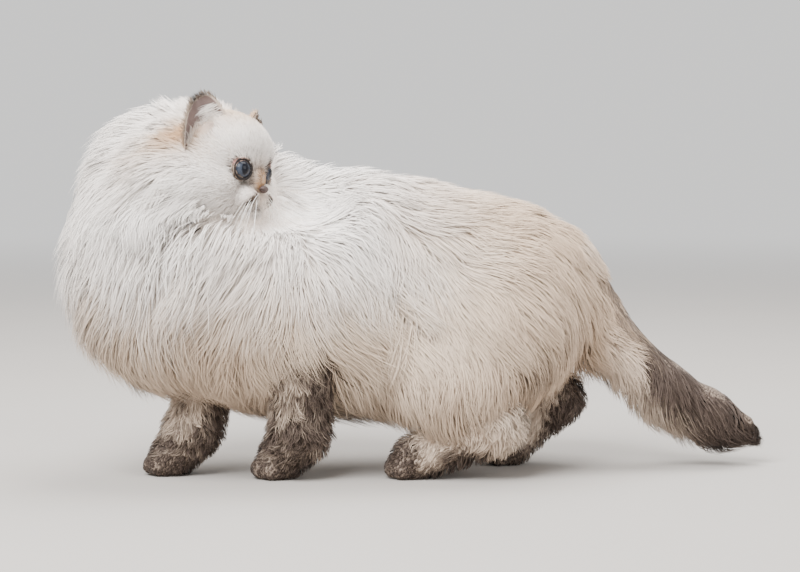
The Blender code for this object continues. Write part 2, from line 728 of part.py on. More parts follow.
def make_leg(leg):
    """The leg and its paw, as two nodes, and the room the leg takes up in the trunk."""
    flesh = leg_flesh(leg)

    def surface(points):
        high = np.clip((points[:, 2] - 0.028) / 0.02, 0.0, 1.0)
        return flesh.distance(points, 1.0) - high * clumps(points, 180.0, 0.0012)

    height = LEGS[leg][1]
    balls = list(flesh.balls(1.0))
    upper = thinned(flesh_object(leg + "_leg", surface, balls, 0.0072), 0.13)
    paw = thinned(flesh_object(leg + "_paw", surface, balls, 0.0042), 0.17)
    room = grown(upper, leg + "_room", SINK)
    boolean(upper, "DIFFERENCE", [slab("below", (0.0, 0.0, height + GAP / 2), (0.0, 0.0, -1.0))])
    boolean(paw, "DIFFERENCE", [slab("above", (0.0, 0.0, height - GAP / 2), (0.0, 0.0, 1.0))])
    boolean(paw, "DIFFERENCE", [slab("ground", (0.0, 0.0, 0.0), (0.0, 0.0, -1.0))])
    return room


# Trunk and tail

TRUNK = Flesh(TRUNK_BONES, 0.032, TRUNK_WIDTH)
TAIL = Flesh(TAIL_BONES, 0.012)


def body_distance(points, share):
    """The trunk and the tail, with the ruff parted in front of the face."""
    total = fuse(TRUNK.distance(points, share), TAIL.distance(points, share), 0.020)
    face = egg_distance(to_head(points), FACE_CLEAR, FACE_CLEAR_RADII)
    return -fuse(-total, face, 0.016)


def tail_flow(points):
    """Along the nearest bone of the tail, and a little down."""
    nearest = np.full(len(points), np.inf)
    way = np.zeros_like(points)
    for first, last in TAIL_BONES:
        start, start_radius = joint(first, 0.5)
        end, end_radius = joint(last, 0.5)
        away = limb_distance(points, start, end, start_radius, end_radius)
        nearer = away < nearest
        nearest[nearer] = away[nearer]
        way[nearer] = unit(unit(end - start) + np.array((0.0, 0.0, -0.35)))
    return way


def body_flow(points, outward):
    """The lie of the coat: away from the face on the ruff, tailward and down on the body, along the tail."""
    down = np.array((0.0, 0.0, -1.0))
    tailward = np.array((1.0, 0.0, 0.0))
    x, z = points[:, 0:1], points[:, 2:3]
    face = np.array(HEAD_PLACE) + np.array((0.020, -0.010, 0.030))
    ruff = np.exp(-((np.maximum(x + 0.100, 0.0) / 0.035) ** 2))
    steep = np.clip(1.0 - outward[:, 2:3], 0.0, 1.0)
    low = np.clip((0.125 - z) / 0.05, 0.0, 1.0) * (x < 0.14)
    flow = ruff * unit(0.8 * unit(points - face) + 0.7 * down)
    flow = flow + (1.0 - ruff) * unit(0.75 * tailward + 0.9 * steep * down)
    flow = flow + low * (0.5 * tailward + 1.2 * down)
    tail = np.clip((x - 0.140) / 0.02, 0.0, 1.0)
    return unit(flow * (1.0 - tail) + tail_flow(points) * tail)


def body_reach(points):
    return np.clip(0.028 + 1.75 * loft(body_distance, points), 0.036, 0.095)


def body_spacing(points):
    return 0.015 + 0.32 * body_reach(points)


def clear_of_others(points):
    """Keeps the roots of the body's locks out of the head and the legs."""
    free = head_distance(to_head(points), 1.0) > 0.002
    for leg in LEGS:
        free &= leg_flesh(leg).distance(points, 1.0) > -0.002
    return free


def make_body(rooms, rng):
    """The trunk and tail with their coat, with room for the other nodes, cut across into nodes."""
    balls = list(TRUNK.balls(CORE_SHARE)) + list(TAIL.balls(CORE_SHARE))
    body = flesh_object("chest", lambda points: body_distance(points, CORE_SHARE), balls, 0.0115)
    thinned(body, 0.13)
    locks = coat_locks(
        body, body_distance, body_spacing, body_flow, clear_of_others, body_reach, rng, floor=FLOOR_CLEAR
    )
    wear(body, locks)
    for room in rooms:
        boolean(body, "DIFFERENCE", [room])
    nodes = {"chest": body}
    for beyond, before, place, normal in CUTS:
        side = Vector(normal).normalized()
        nodes[beyond] = copied(nodes[before], beyond)
        boolean(nodes[beyond], "DIFFERENCE", [slab("near", Vector(place) + side * GAP / 2, -side)])
        boolean(nodes[before], "DIFFERENCE", [slab("far", Vector(place) - side * GAP / 2, side)])


def shift_to_origin():
    """Puts the middle of the whole body's box over the origin, with the soles on the floor."""
    every = np.concatenate([mesh_points(made.data) for made in bpy.data.objects])
    low, high = every.min(0), every.max(0)
    move = Matrix.Translation((-(low[0] + high[0]) / 2, -(low[1] + high[1]) / 2, 0.0))
    for made in bpy.data.objects:
        made.data.transform(move)


for old in list(bpy.data.objects):
    bpy.data.objects.remove(old)
random_numbers = np.random.default_rng(SEED)
taken = make_head(random_numbers)
taken += [make_leg(name) for name in LEGS]
make_body(taken, random_numbers)
shift_to_origin()
for node in bpy.data.objects:
    paint(node)
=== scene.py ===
import math

import bmesh
import bpy
import numpy as np
from mathutils import Matrix, Vector, kdtree


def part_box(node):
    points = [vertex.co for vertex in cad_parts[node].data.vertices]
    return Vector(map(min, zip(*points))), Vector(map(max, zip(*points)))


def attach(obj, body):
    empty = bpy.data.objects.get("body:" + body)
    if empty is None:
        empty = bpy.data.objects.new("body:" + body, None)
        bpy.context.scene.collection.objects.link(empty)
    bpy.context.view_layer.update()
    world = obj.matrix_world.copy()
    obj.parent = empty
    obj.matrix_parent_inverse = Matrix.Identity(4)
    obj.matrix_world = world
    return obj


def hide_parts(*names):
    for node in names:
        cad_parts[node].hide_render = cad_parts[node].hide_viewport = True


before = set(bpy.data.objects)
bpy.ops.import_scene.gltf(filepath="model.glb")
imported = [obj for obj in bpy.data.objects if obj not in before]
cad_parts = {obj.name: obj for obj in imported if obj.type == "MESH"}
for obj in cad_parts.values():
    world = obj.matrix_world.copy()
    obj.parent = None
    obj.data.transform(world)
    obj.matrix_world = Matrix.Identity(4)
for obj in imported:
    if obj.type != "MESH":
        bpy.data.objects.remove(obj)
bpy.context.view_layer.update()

# The cat's own build, in metres: joint place, skin radius, coat depth, sag of the coat
joints = {
    "breast": ((-0.188, -0.026, 0.190), 0.050, 0.058, 0.006),
    "shoulders": ((-0.105, -0.012, 0.178), 0.066, 0.036, 0.014),
    "ribs": ((-0.045, -0.006, 0.180), 0.068, 0.038, 0.018),
    "loin": ((0.025, 0.008, 0.172), 0.062, 0.038, 0.018),
    "pelvis": ((0.084, 0.016, 0.160), 0.056, 0.030, 0.012),
    "nape": ((-0.195, 0.006, 0.248), 0.044, 0.048, 0.008),
    "leftHip": ((0.080, -0.028, 0.142), 0.042, 0.026, 0.012),
    "leftKnee": ((0.048, -0.048, 0.106), 0.033, 0.026, 0.018),
    "rightHip": ((0.098, 0.056, 0.142), 0.040, 0.026, 0.012),
    "rightKnee": ((0.082, 0.058, 0.106), 0.033, 0.024, 0.016),
    "leftShoulder": ((-0.112, -0.050, 0.170), 0.034, 0.020, 0.012),
    "leftArm": ((-0.092, -0.050, 0.140), 0.024, 0.012, 0.006),
    "rightShoulder": ((-0.150, 0.012, 0.165), 0.034, 0.026, 0.012),
    "rightArm": ((-0.166, 0.000, 0.130), 0.026, 0.018, 0.006),
    "tailRoot": ((0.146, 0.028, 0.192), 0.018, 0.024, 0.014),
    "tailBend": ((0.190, 0.030, 0.134), 0.012, 0.019, 0.024),
    "tailMiddle": ((0.243, 0.032, 0.085), 0.010, 0.020, 0.022),
    "tailEnd": ((0.284, 0.034, 0.061), 0.008, 0.019, 0.020),
    "tailPoint": ((0.319, 0.036, 0.044), 0.004, 0.007, 0.012),
    "frontLeftElbow": ((-0.086, -0.068, 0.128), 0.0220, 0.0120, 0.0),
    "frontLeftWrist": ((-0.088, -0.050, 0.040), 0.0160, 0.0110, 0.0),
    "frontLeftBall": ((-0.106, -0.043, 0.016), 0.0165, 0.0060, 0.0),
    "frontRightElbow": ((-0.168, -0.006, 0.118), 0.0220, 0.0100, 0.0),
    "frontRightWrist": ((-0.185, -0.020, 0.040), 0.0155, 0.0100, 0.0),
    "frontRightBall": ((-0.204, -0.022, 0.016), 0.0165, 0.0060, 0.0),
    "hindLeftKnee": ((0.050, -0.044, 0.098), 0.0230, 0.0080, 0.0),
    "hindLeftHock": ((0.082, -0.047, 0.050), 0.0150, 0.0150, 0.0),
    "hindLeftBall": ((0.012, -0.042, 0.017), 0.0165, 0.0060, 0.0),
    "hindRightKnee": ((0.092, 0.052, 0.098), 0.0230, 0.0080, 0.0),
    "hindRightHock": ((0.144, 0.042, 0.062), 0.0145, 0.0110, 0.0),
    "hindRightBall": ((0.102, 0.037, 0.017), 0.0155, 0.0060, 0.0),
}
trunkBones = (
    ("breast", "shoulders"), ("shoulders", "ribs"), ("ribs", "loin"), ("loin", "pelvis"), ("breast", "nape"),
    ("shoulders", "nape"), ("pelvis", "leftHip"), ("leftHip", "leftKnee"), ("pelvis", "rightHip"),
    ("rightHip", "rightKnee"), ("leftShoulder", "leftArm"), ("rightShoulder", "rightArm"),
)
tailBones = (
    ("tailRoot", "tailBend"), ("tailBend", "tailMiddle"), ("tailMiddle", "tailEnd"), ("tailEnd", "tailPoint"),
)
legs = {  # joints from the top, and the way the toes point
    "frontLeft": (("Elbow", "Wrist", "Ball"), (-0.97, -0.24, 0.0)),
    "frontRight": (("Elbow", "Wrist", "Ball"), (-1.0, -0.05, 0.0)),
    "hindLeft": (("Knee", "Hock", "Ball"), (-1.0, -0.05, 0.0)),
    "hindRight": (("Knee", "Hock", "Ball"), (-1.0, 0.0, 0.0)),
}
toes = {
    "radius": 0.0078, "reach": 0.0165, "coat": 0.0012, "clear": 0.0012, "longer": 0.002, "taller": 0.0015,
    # place across the paw, and share of the reach
    "spread": ((-0.0125, 0.62), (-0.0045, 1.0), (0.0045, 1.0), (0.0125, 0.62)),
}
build = {
    "trunkWidth": 0.86, "trunkSoft": 0.032, "tailSoft": 0.012, "legSoft": 0.014, "toeSoft": 0.0030,
    "joinSoft": 0.020, "ruffSoft": 0.017, "sole": 0.0006,
}

# The head in its own frame: +X the cat's right, +Y the way it faces, +Z the crown
head = {
    "place": (-0.154, -0.050, 0.275),
    "turn": math.radians(-33),
    "roll": math.radians(-6),
    "faceSoft": 0.006,
    "coatSoft": 0.022,
    "longCoat": 0.008,
    "forms": (  # centre, skin radii, coat depth, sweep of the coat's tips, mirrored or not
        ((0.0, 0.002, 0.011), (0.0385, 0.0355, 0.0345), 0.0045, (0.0, 0.0, 0.0), False),
        ((0.0, -0.012, 0.002), (0.0340, 0.0280, 0.0340), 0.0180, (0.0, -0.022, -0.006), False),
        ((0.0, 0.021, 0.018), (0.0270, 0.0145, 0.0145), 0.0030, (0.0, 0.0, 0.0), False),
        ((0.026, 0.006, -0.018), (0.0180, 0.0190, 0.0170), 0.0045, (0.0, 0.0, 0.0), True),
        ((0.026, -0.004, -0.018), (0.0180, 0.0190, 0.0160), 0.0180, (0.018, -0.022, -0.004), True),
        ((0.023, 0.020, -0.014), (0.0120, 0.0100, 0.0100), 0.0025, (0.0, 0.0, 0.0), True),
        ((0.0, 0.008, -0.029), (0.0210, 0.0200, 0.0110), 0.0090, (0.0, -0.004, -0.004), False),
        ((0.0095, 0.0355, -0.0265), (0.0095, 0.0085, 0.0072), 0.0015, (0.0, 0.0, 0.0), True),
        ((0.0, 0.0310, -0.0405), (0.0095, 0.0075, 0.0060), 0.0020, (0.0, 0.0, 0.0), False),
        ((0.0, 0.0366, -0.0098), (0.0060, 0.0078, 0.0082), 0.0008, (0.0, 0.0, 0.0), False),
    ),
    "faceClear": ((0.0, 0.066, -0.004), (0.073, 0.060, 0.050)),
    "clearSoft": 0.030,
    "mouth": (
        (0.0, 0.0465, -0.0225), (0.0, 0.0465, -0.0310), (0.0085, 0.0440, -0.0352), (0.0165, 0.0350, -0.0375),
        (0.0215, 0.0260, -0.0390),
    ),
    "mouthRadius": 0.0011,
    "padFold": (  # between the whisker pad and the cheek
        (0.0092, 0.0450, -0.0240), (0.0130, 0.0435, -0.0275), (0.0160, 0.0405, -0.0320),
        (0.0160, 0.0335, -0.0380), (0.0150, 0.0275, -0.0425),
    ),
}
eye = {
    "place": (0.0175, 0.0292, -0.0030), "axis": (0.30, 0.95, 0.05), "radius": 0.0105,
    "corneaRadius": 0.0084, "corneaForward": 0.0030,
    "lidRing": 0.0094, "lidThick": 0.0016, "lidForward": 0.0062,
    "rimRing": 0.0086, "rimThick": 0.00115, "rimForward": 0.0067, "leftInset": 0.0038,
}
nose = {
    "place": (0.0, 0.0448, -0.0186), "radii": (0.0050, 0.0034, 0.0034), "taper": 114.0, "taperDepth": 0.0042,
    "nostrilLine": ((0.0022, 0.0484, -0.0205), (0.0036, 0.0474, -0.0200), (0.0050, 0.0452, -0.0190)),
    "nostril": 0.0007, "nostrilDepth": 0.0012, "crease": 0.0006, "creaseDepth": 0.0006,
}
ears = {  # for the right side: front and back ends of the base, and the tip
    "earRight": ((0.0160, 0.0130, 0.0420), (0.0545, -0.0020, 0.0130), (0.0400, -0.0005, 0.0570)),
    "earLeft": ((0.0190, 0.0130, 0.0400), (0.0560, 0.0000, 0.0160), (0.0470, 0.0010, 0.0490)),
}
earForm = {"facing": (0.35, 0.93, 0.10), "wall": 0.0010, "cup": 0.0130, "grid": 25}


def unit(vectors):
    return vectors / np.maximum(np.linalg.norm(vectors, axis=-1, keepdims=True), 1e-12)


def ramp(values, low, high):
    t = np.clip((values - low) / (high - low), 0.0, 1.0)
    return t * t * (3.0 - 2.0 * t)


rippleWaves = (  # own axis and rate, pull and rate of a second axis, a third axis and its rate
    (0, 1.3, 1.4, 1, 0.9, 2, 1.1), (1, 1.7, 1.2, 2, 1.3, 0, 0.7), (2, 1.5, 1.3, 0, 1.9, 1, 0.8),
)


def ripple(points, scale, seed):  # a smooth, wandering number from -1 to 1
    a = points * scale
    turns = np.random.default_rng(seed).uniform(0, 6.3, (3, 3))
    total = 0.0
    for (own, rate, pull, second, secondRate, third, thirdRate), turn in zip(rippleWaves, turns, strict=True):
        bend = pull * np.sin(a[:, second] * secondRate + turn[1])
        total = total + np.sin(a[:, own] * rate + turn[0] + bend + np.sin(a[:, third] * thirdRate + turn[2]))
    return total / 3.0


# Distance fields of the body, with any share of the coat's depth

def jointAt(name, share):
    place, radius, coat, sag = joints[name]
    return np.array(place) - np.array((0.0, 0.0, share * sag)), radius + share * coat


def fuse(first, second, softness):
    mix = np.clip(0.5 + 0.5 * (second - first) / softness, 0.0, 1.0)
    return second + (first - second) * mix - softness * mix * (1.0 - mix)


def limbDistance(points, start, end, startRadius, endRadius):
    axis = end - start
    along = np.clip((points - start) @ axis / (axis @ axis), 0.0, 1.0)
    away = np.linalg.norm(points - start - along[:, None] * axis, axis=1)
    return away - startRadius - along * (endRadius - startRadius)


def eggDistance(points, centre, radii):
    scaled = (points - np.array(centre)) / np.array(radii)
    reach = np.linalg.norm(scaled, axis=1)
    slope = np.linalg.norm(scaled / np.array(radii), axis=1)
    return reach * (reach - 1.0) / np.maximum(slope, 1e-9)


def bonesDistance(points, bones, share, softness, squeeze=1.0):
    scale = np.array((1.0, 1.0 / squeeze, 1.0))
    total = None
    for first, last in bones:
        start, startRadius = jointAt(first, share)
        end, endRadius = jointAt(last, share)
        one = limbDistance(points * scale, start * scale, end * scale, startRadius, endRadius)
        total = one if total is None else fuse(total, one, softness)
    return total


def headFrame():
    ahead = Vector((math.cos(head["turn"]), math.sin(head["turn"]), 0.0))
    up = Vector((0.0, 0.0, 1.0))
    basis = Matrix((ahead.cross(up), ahead, up)).transposed().to_4x4()
    return Matrix.Translation(Vector(head["place"])) @ basis @ Matrix.Rotation(head["roll"], 4, "Y")


headMatrix = np.array(headFrame())


def toHead(points):
    return (points - headMatrix[:3, 3]) @ headMatrix[:3, :3]


def fromHead(points):
    return points @ headMatrix[:3, :3].T + headMatrix[:3, 3]


def mirrored(value, side):
    return np.array(value) * np.array((side, 1.0, 1.0))


def eyePlace(side):  # the far eye sits a little deeper
    return mirrored(eye["place"], side) - (side < 0) * np.array((0.0004, eye["leftInset"], 0.0))


def headForms(share):
    for centre, radii, coat, sweep, both in head["forms"]:
        softness = head["coatSoft"] if coat > head["longCoat"] else head["faceSoft"]
        for side in (1, -1) if both else (1,):
            middle = mirrored(np.array(centre) + share * np.array(sweep), side)
            yield middle, np.array(radii) + share * coat, softness


def headShape(h, share):
    total = None
    for centre, radii, softness in headForms(share):
        one = eggDistance(h, centre, radii)
        total = one if total is None else fuse(total, one, softness)
    return total


def headDistance(points, share):
    return headShape(toHead(points), share)


def trunkDistance(points, share):
    total = bonesDistance(points, trunkBones, share, build["trunkSoft"], build["trunkWidth"])
    face = eggDistance(toHead(points), *head["faceClear"])
    return -fuse(-total, face, head["clearSoft"])


def tailDistance(points, share):
    return bonesDistance(points, tailBones, share, build["tailSoft"])


def bodyDistance(points, share):
    return fuse(trunkDistance(points, share), tailDistance(points, share), build["joinSoft"])


def toeEggs(leg, share):
    heading = unit(np.array(legs[leg][1]))
    aside = np.array((-heading[1], heading[0], 0.0))
    size = toes["radius"] - toes["coat"] * (1.0 - share)
    for across, reach in toes["spread"]:
        centre = np.array(joints[leg + "Ball"][0]) + heading * toes["reach"] * reach + aside * across
        centre[2] = toes["radius"] + toes["clear"]
        yield centre, (size + toes["longer"], size, size + toes["taller"])


def legBones(leg):
    upper, middle, ball = (leg + part for part in legs[leg][0])
    return ((upper, middle), (middle, ball))


def legDistance(points, leg, share):
    total = bonesDistance(points, legBones(leg), share, build["legSoft"])
    for centre, radii in toeEggs(leg, share):
        total = fuse(total, eggDistance(points, centre, radii), build["toeSoft"])
    return total


def gradient(distance, points, step=0.0004):
    slopes = np.stack([
        (distance(points + step * axis) - distance(points - step * axis)) / (2 * step) for axis in np.eye(3)
    ], axis=1)
    size = np.maximum(np.linalg.norm(slopes, axis=1, keepdims=True), 1e-9)
    return slopes / size, size[:, 0]


def settled(distance, points):  # points moved on to the surface of a field
    outward, slope = gradient(distance, points)
    return points - outward * np.clip(distance(points) / slope, -0.01, 0.01)[:, None]


def headLine(h, name, side):  # distance to the mouth or the pad's fold
    return lineDistance(h, [mirrored(p, side) for p in head[name]])


def eyeReach(h, side):  # distances from an eye's centre, along its axis and out from it
    axis = unit(mirrored(eye["axis"], side))
    offset = h - eyePlace(side)
    along = offset @ axis
    return along, np.linalg.norm(offset - along[:, None] * axis, axis=1)


def eyeBasis(side):  # right, top and outward axis of an eye
    axis = Vector(mirrored(eye["axis"], side)).normalized()
    right = Vector((0.0, 0.0, 1.0)).cross(axis).normalized()
    return right, axis.cross(right), axis


# Meshes

def meshPoints(mesh):
    points = np.empty(len(mesh.vertices) * 3)
    mesh.vertices.foreach_get("co", points)
    return points.reshape(-1, 3)


def linked(name, mesh):
    made = bpy.data.objects.new(name, mesh)
    bpy.context.scene.collection.objects.link(made)
    return made


def applied(made):
    bpy.context.view_layer.update()
    mesh = bpy.data.meshes.new_from_object(made.evaluated_get(bpy.context.evaluated_depsgraph_get()))
    made.modifiers.clear()
    made.data = mesh
    return made


def smooth(made):
    made.data.polygons.foreach_set("use_smooth", np.ones(len(made.data.polygons), bool))
    made.data.update()
    return made


def arrayMesh(name, points, faces):  # faces is a list of index arrays with the same number of corners
    mesh = bpy.data.meshes.new(name)
    mesh.vertices.add(len(points))
    mesh.vertices.foreach_set("co", np.ascontiguousarray(points, np.float32).ravel())
    corners = np.concatenate([group.ravel() for group in faces])
    totals = np.concatenate([np.full(len(group), group.shape[1]) for group in faces])
    mesh.loops.add(len(corners))
    mesh.loops.foreach_set("vertex_index", corners.astype(np.int32))
    mesh.polygons.add(len(totals))
    mesh.polygons.foreach_set("loop_start", (np.cumsum(totals) - totals).astype(np.int32))
    mesh.polygons.foreach_set("use_smooth", np.ones(len(totals), bool))
    mesh.update(calc_edges=True)
    return mesh


def paintPoints(mesh, name, values):  # a colour attribute of four numbers a point
    attribute = mesh.attributes.new(name, "FLOAT_COLOR", "POINT")
    attribute.data.foreach_set("color", np.ascontiguousarray(values, np.float32).ravel())


def paintMap(mesh, name, spots):  # a UV map from one spot for each point
    layer = mesh.uv_layers.new(name=name)
    corners = np.empty(len(mesh.loops), np.int32)
    mesh.loops.foreach_get("vertex_index", corners)
    layer.uv.foreach_set("vector", spots[corners].astype(np.float32).ravel())


def ballMesh(name, segments, rings):
    ball = bmesh.new()
    bmesh.ops.create_uvsphere(ball, u_segments=segments, v_segments=rings, radius=1.0)
    mesh = bpy.data.meshes.new(name)
    ball.to_mesh(mesh)
    ball.free()
    return mesh


def facesOutward(mesh):
    solid = bmesh.new()
    solid.from_mesh(mesh)
    bmesh.ops.recalc_face_normals(solid, faces=solid.faces)
    solid.to_mesh(mesh)
    solid.free()


def relaxed(made, distance, rounds, free=None):
    ends = np.empty(len(made.data.edges) * 2, np.int32)
    made.data.edges.foreach_get("vertices", ends)
    ends = ends.reshape(-1, 2)
    points = meshPoints(made.data)
    for _ in range(rounds):
        total = np.stack([
            np.bincount(ends[:, 0], points[ends[:, 1], axis], len(points))
            + np.bincount(ends[:, 1], points[ends[:, 0], axis], len(points)) for axis in range(3)
        ], axis=1)
        count = np.bincount(ends.ravel(), minlength=len(points))
        moved = settled(distance, 0.5 * points + 0.5 * total / count[:, None])
        moved[:, 2] = np.maximum(moved[:, 2], build["sole"])
        points = moved if free is None else np.where(free(points)[:, None], moved, points)
    made.data.vertices.foreach_set("co", points.ravel())
    made.data.update()
    return made


def place(made):  # from the cat's own measures to the frame
    made.data.transform(Matrix.Translation(shift))
    return made


def eyeBoxCentre():
    ball = fromHead(np.array([eye["place"]]))[0]
    axis = headMatrix[:3, :3] @ unit(np.array(eye["axis"]))
    cornea = ball + axis * eye["corneaForward"]
    low = np.minimum(ball - eye["radius"], cornea - eye["corneaRadius"])
    high = np.maximum(ball + eye["radius"], cornea + eye["corneaRadius"])
    return Vector((low + high) / 2)


lowCorner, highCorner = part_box("eye_right")
shift = (lowCorner + highCorner) / 2 - eyeBoxCentre()
shift.z = 0.0
print("frame loaded, shift", tuple(round(v, 5) for v in shift))


# Finishes: a socket that Python's operators work on, and a material built from such sockets

class Wire:
    def __init__(self, finish, socket):
        self.finish = finish
        self.socket = socket

    def combine(self, operation, other, swapped=False):
        pair = (other, self) if swapped else (self, other)
        return self.finish.node("Math", {"operation": operation}, {0: pair[0], 1: pair[1]})

    def __add__(self, other):
        return self.combine("ADD", other)

    def __radd__(self, other):
        return self.combine("ADD", other, True)

    def __sub__(self, other):
        return self.combine("SUBTRACT", other)

    def __mul__(self, other):
        return self.combine("MULTIPLY", other)

    def __pow__(self, other):
        return self.combine("POWER", other)


class Finish:
    def __init__(self, name, sockets):
        self.material = bpy.data.materials.new(name)
        self.material.use_nodes = True
        self.tree = self.material.node_tree
        self.shader = self.tree.nodes["Principled BSDF"]
        for key, value in sockets.items():
            self.shader.inputs[key].default_value = value

    def feed(self, socket, value):
        if isinstance(value, Wire):
            self.tree.links.new(value.socket, socket)
        elif isinstance(value, (tuple, list)) and len(value) == 3 and socket.type == "RGBA":
            socket.default_value = (*value, 1.0)
        else:
            socket.default_value = value

    def node(self, kind, settings=None, values=None, output=0):
        made = self.tree.nodes.new("ShaderNode" + kind)
        for key, value in (settings or {}).items():
            setattr(made, key, value)
        for key, value in (values or {}).items():
            self.feed(made.inputs[key], value)
        return Wire(self, made.outputs[output])

    def mix(self, first, second, factor):
        settings = {"data_type": "RGBA", "blend_type": "MIX", "clamp_factor": True}
        return self.node("Mix", settings, {0: factor, 6: first, 7: second}, 2)

    def band(self, value, low, high):  # 0 below low, 1 above high, smooth between
        values = {0: value, 1: low, 2: high, 3: 0.0, 4: 1.0}
        return self.node("MapRange", {"interpolation_type": "SMOOTHSTEP"}, values)

    def parts(self, attribute):
        whole = self.node("Attribute", {"attribute_name": attribute})
        split = self.node("SeparateColor", {}, {0: whole}).socket.node
        alpha = Wire(self, whole.socket.node.outputs["Alpha"])
        return [Wire(self, split.outputs[index]) for index in range(3)] + [alpha]

    def noise(self, vector, scale, detail=2.0, roughness=0.5):
        values = {"Vector": vector, "Scale": scale, "Detail": detail, "Roughness": roughness}
        return self.node("TexNoise", {}, values)

    def coordinates(self):
        return self.node("TexCoord", {}, {}, "Object")

    def bump(self, height, strength, distance):
        normal = self.node("Bump", {}, {"Height": height, "Strength": strength, "Distance": distance})
        self.feed(self.shader.inputs["Normal"], normal)

    def done(self, colour, roughness=None):
        self.feed(self.shader.inputs["Base Color"], colour)
        if roughness is not None:
            self.feed(self.shader.inputs["Roughness"], roughness)
        return self.material


# root is the underfur's tone, darkened to stand in as painted shade deep in the coat
coatColours = {
    "cream": (0.75, 0.600, 0.465), "white": (0.94, 0.900, 0.86), "tan": (0.42, 0.235, 0.110),
    "point": (0.036, 0.024, 0.018), "pointTip": (0.175, 0.130, 0.108), "root": (0.48, 0.370, 0.290),
}


def coatBase(finish, warm, pale):
    return finish.mix(finish.mix(coatColours["cream"], coatColours["white"], pale), coatColours["tan"], warm)


def furFinish(name):
    finish = Finish(name, {
        "Roughness": 0.60, "Sheen Weight": 0.06, "Sheen Roughness": 0.5, "Specular IOR Level": 0.15,
    })
    dark, warm, pale, _ = finish.parts("marks")
    along, chance, lockChance, _ = finish.parts("strand")
    base = coatBase(finish, warm, pale)
    # darker towards the roots: the underfur's tone and painted shade deep in the coat
    base = finish.mix(finish.mix(base, coatColours["root"], 0.45), base, finish.band(along, 0.0, 0.5))
    spread = finish.band(dark + (chance - 0.5) * 0.42 + (lockChance - 0.5) * 0.25, 0.16, 0.84)
    tips = finish.band(along, 0.25, 1.0) * (chance * 0.8)
    base = finish.mix(base, finish.mix(coatColours["point"], coatColours["pointTip"], tips), spread)
    value = 0.90 + chance * 0.14 + lockChance * 0.06
    return finish.done(finish.node("HueSaturation", {}, {"Saturation": 1.0, "Value": value, "Color": base}))


def skinFinish(name):
    finish = Finish(name, {"Roughness": 0.85, "Sheen Weight": 0.05, "Specular IOR Level": 0.15})
    dark, warm, pale, pink = finish.parts("marks")
    spot = finish.coordinates()
    stretched = finish.node("Mapping", {}, {"Vector": spot, "Scale": (1.0, 1.0, 0.45)})
    fibres = finish.noise(stretched, 700.0, 3.0, 0.6)
    blotch = finish.noise(spot, 90.0, 3.0)
    # towards the root colour: the underfur's tone and painted shade under the coat
    base = finish.mix(coatBase(finish, warm, pale), coatColours["root"], 0.10 + blotch * 0.25)
    base = finish.mix(base, coatColours["point"], finish.band(dark + (blotch - 0.5) * 0.5, 0.12, 0.88))
    base = finish.mix(base, (0.36, 0.17, 0.145), pink)
    base = finish.mix(base, finish.mix(base, coatColours["root"], 0.5), finish.band(fibres, 0.62, 0.35))
    finish.bump(fibres, 0.6, 0.0008)
    return finish.done(base)


# Markings and painted shade, the same for the skin and for the tufts that grow on it

regionNames = ("head", "trunk", "tail", *legs)


def regionOf(points, share):
    fields = [headDistance(points, share), trunkDistance(points, share), tailDistance(points, share)]
    fields += [legDistance(points, leg, share) for leg in legs]
    return np.argmin(np.stack(fields), axis=0)


def inRegion(region, *names):
    return np.isin(region, [regionNames.index(name) for name in names])


def lineDistance(points, line):
    line = np.array(line, float)
    best = np.full(len(points), 1e9)
    for start, end in zip(line[:-1], line[1:], strict=True):
        best = np.minimum(best, limbDistance(points, start, end, 0.0, 0.0))
    return best


def legFront(points, leg):  # 1 along the front edge of a leg, 0 along its back
    top, middle = (np.array(joints[leg + part][0]) for part in legs[leg][0][:2])
    share = np.clip((points[:, 2] - middle[2]) / (top[2] - middle[2]), 0.0, 1.0)
    return ramp(points[:, 0] - middle[0] - share * (top[0] - middle[0]), 0.012, -0.012)


def legDark(points, leg, seed):
    x, _, z = points.T
    front = legFront(points, leg)
    mottle = 0.12 * ripple(points, 230.0, seed) + 0.06 * ripple(points, 70.0, seed + 30)
    sole = ramp(z, 0.020, 0.006)
    if leg == "frontLeft":
        forearm = 0.80 - 0.24 * front * ramp(z, 0.035, 0.070) - 0.16 * ramp(z, 0.108, 0.150)
        return forearm + 0.15 * sole + mottle
    if leg == "frontRight":
        shin = 0.44 + 0.36 * ramp(front, 0.60, 0.10)
        paw = ramp(z, 0.044, 0.026)
        return shin + paw * (0.84 - shin) + 0.20 * sole + mottle
    if leg == "hindLeft":
        toe = 0.86 * ramp(x, 0.030, 0.008) * ramp(z, 0.046, 0.026)
        heel = 0.72 * ramp(x, 0.030, 0.046) * ramp(x, 0.088, 0.070) * ramp(z, 0.038, 0.020)
        return 0.22 + np.maximum(np.maximum(toe, heel), 0.5 * sole) - 0.12 * np.maximum(toe, heel) + mottle
    rear = 0.60 * ramp(x + 0.35 * (0.06 - z), 0.130, 0.148) * ramp(z, 0.104, 0.080)
    return 0.28 + np.maximum(rear, 0.55 * ramp(z, 0.028, 0.012)) + mottle


def tailAxis(x):  # height of the tail's middle
    names = ("tailRoot", "tailBend", "tailMiddle", "tailEnd", "tailPoint")
    places = np.array([jointAt(name, 0.5)[0] for name in names])
    return np.interp(x, places[:, 0], places[:, 2])


def spotted(h, centre, radii):  # 1 at the centre, fading out over the radii
    return np.exp(-(np.linalg.norm((h - np.array(centre)) / np.array(radii), axis=1) ** 2))


earPlaces = {
    "hollow": (0.0350, 0.0060, 0.0300), "hollowRadii": (0.0150, 0.0110, 0.0120),
    "behind": (0.0370, -0.0150, 0.0380), "behindRadii": (0.0220, 0.0210, 0.0300),
}


def pairSpotted(h, centre, radii):  # the same spot on both sides of the head
    return sum(spotted(h, mirrored(centre, side), radii) for side in (1, -1))


def earHollow(h):
    return pairSpotted(h, earPlaces["hollow"], earPlaces["hollowRadii"])


def behindEar(h):
    return pairSpotted(h, earPlaces["behind"], earPlaces["behindRadii"])


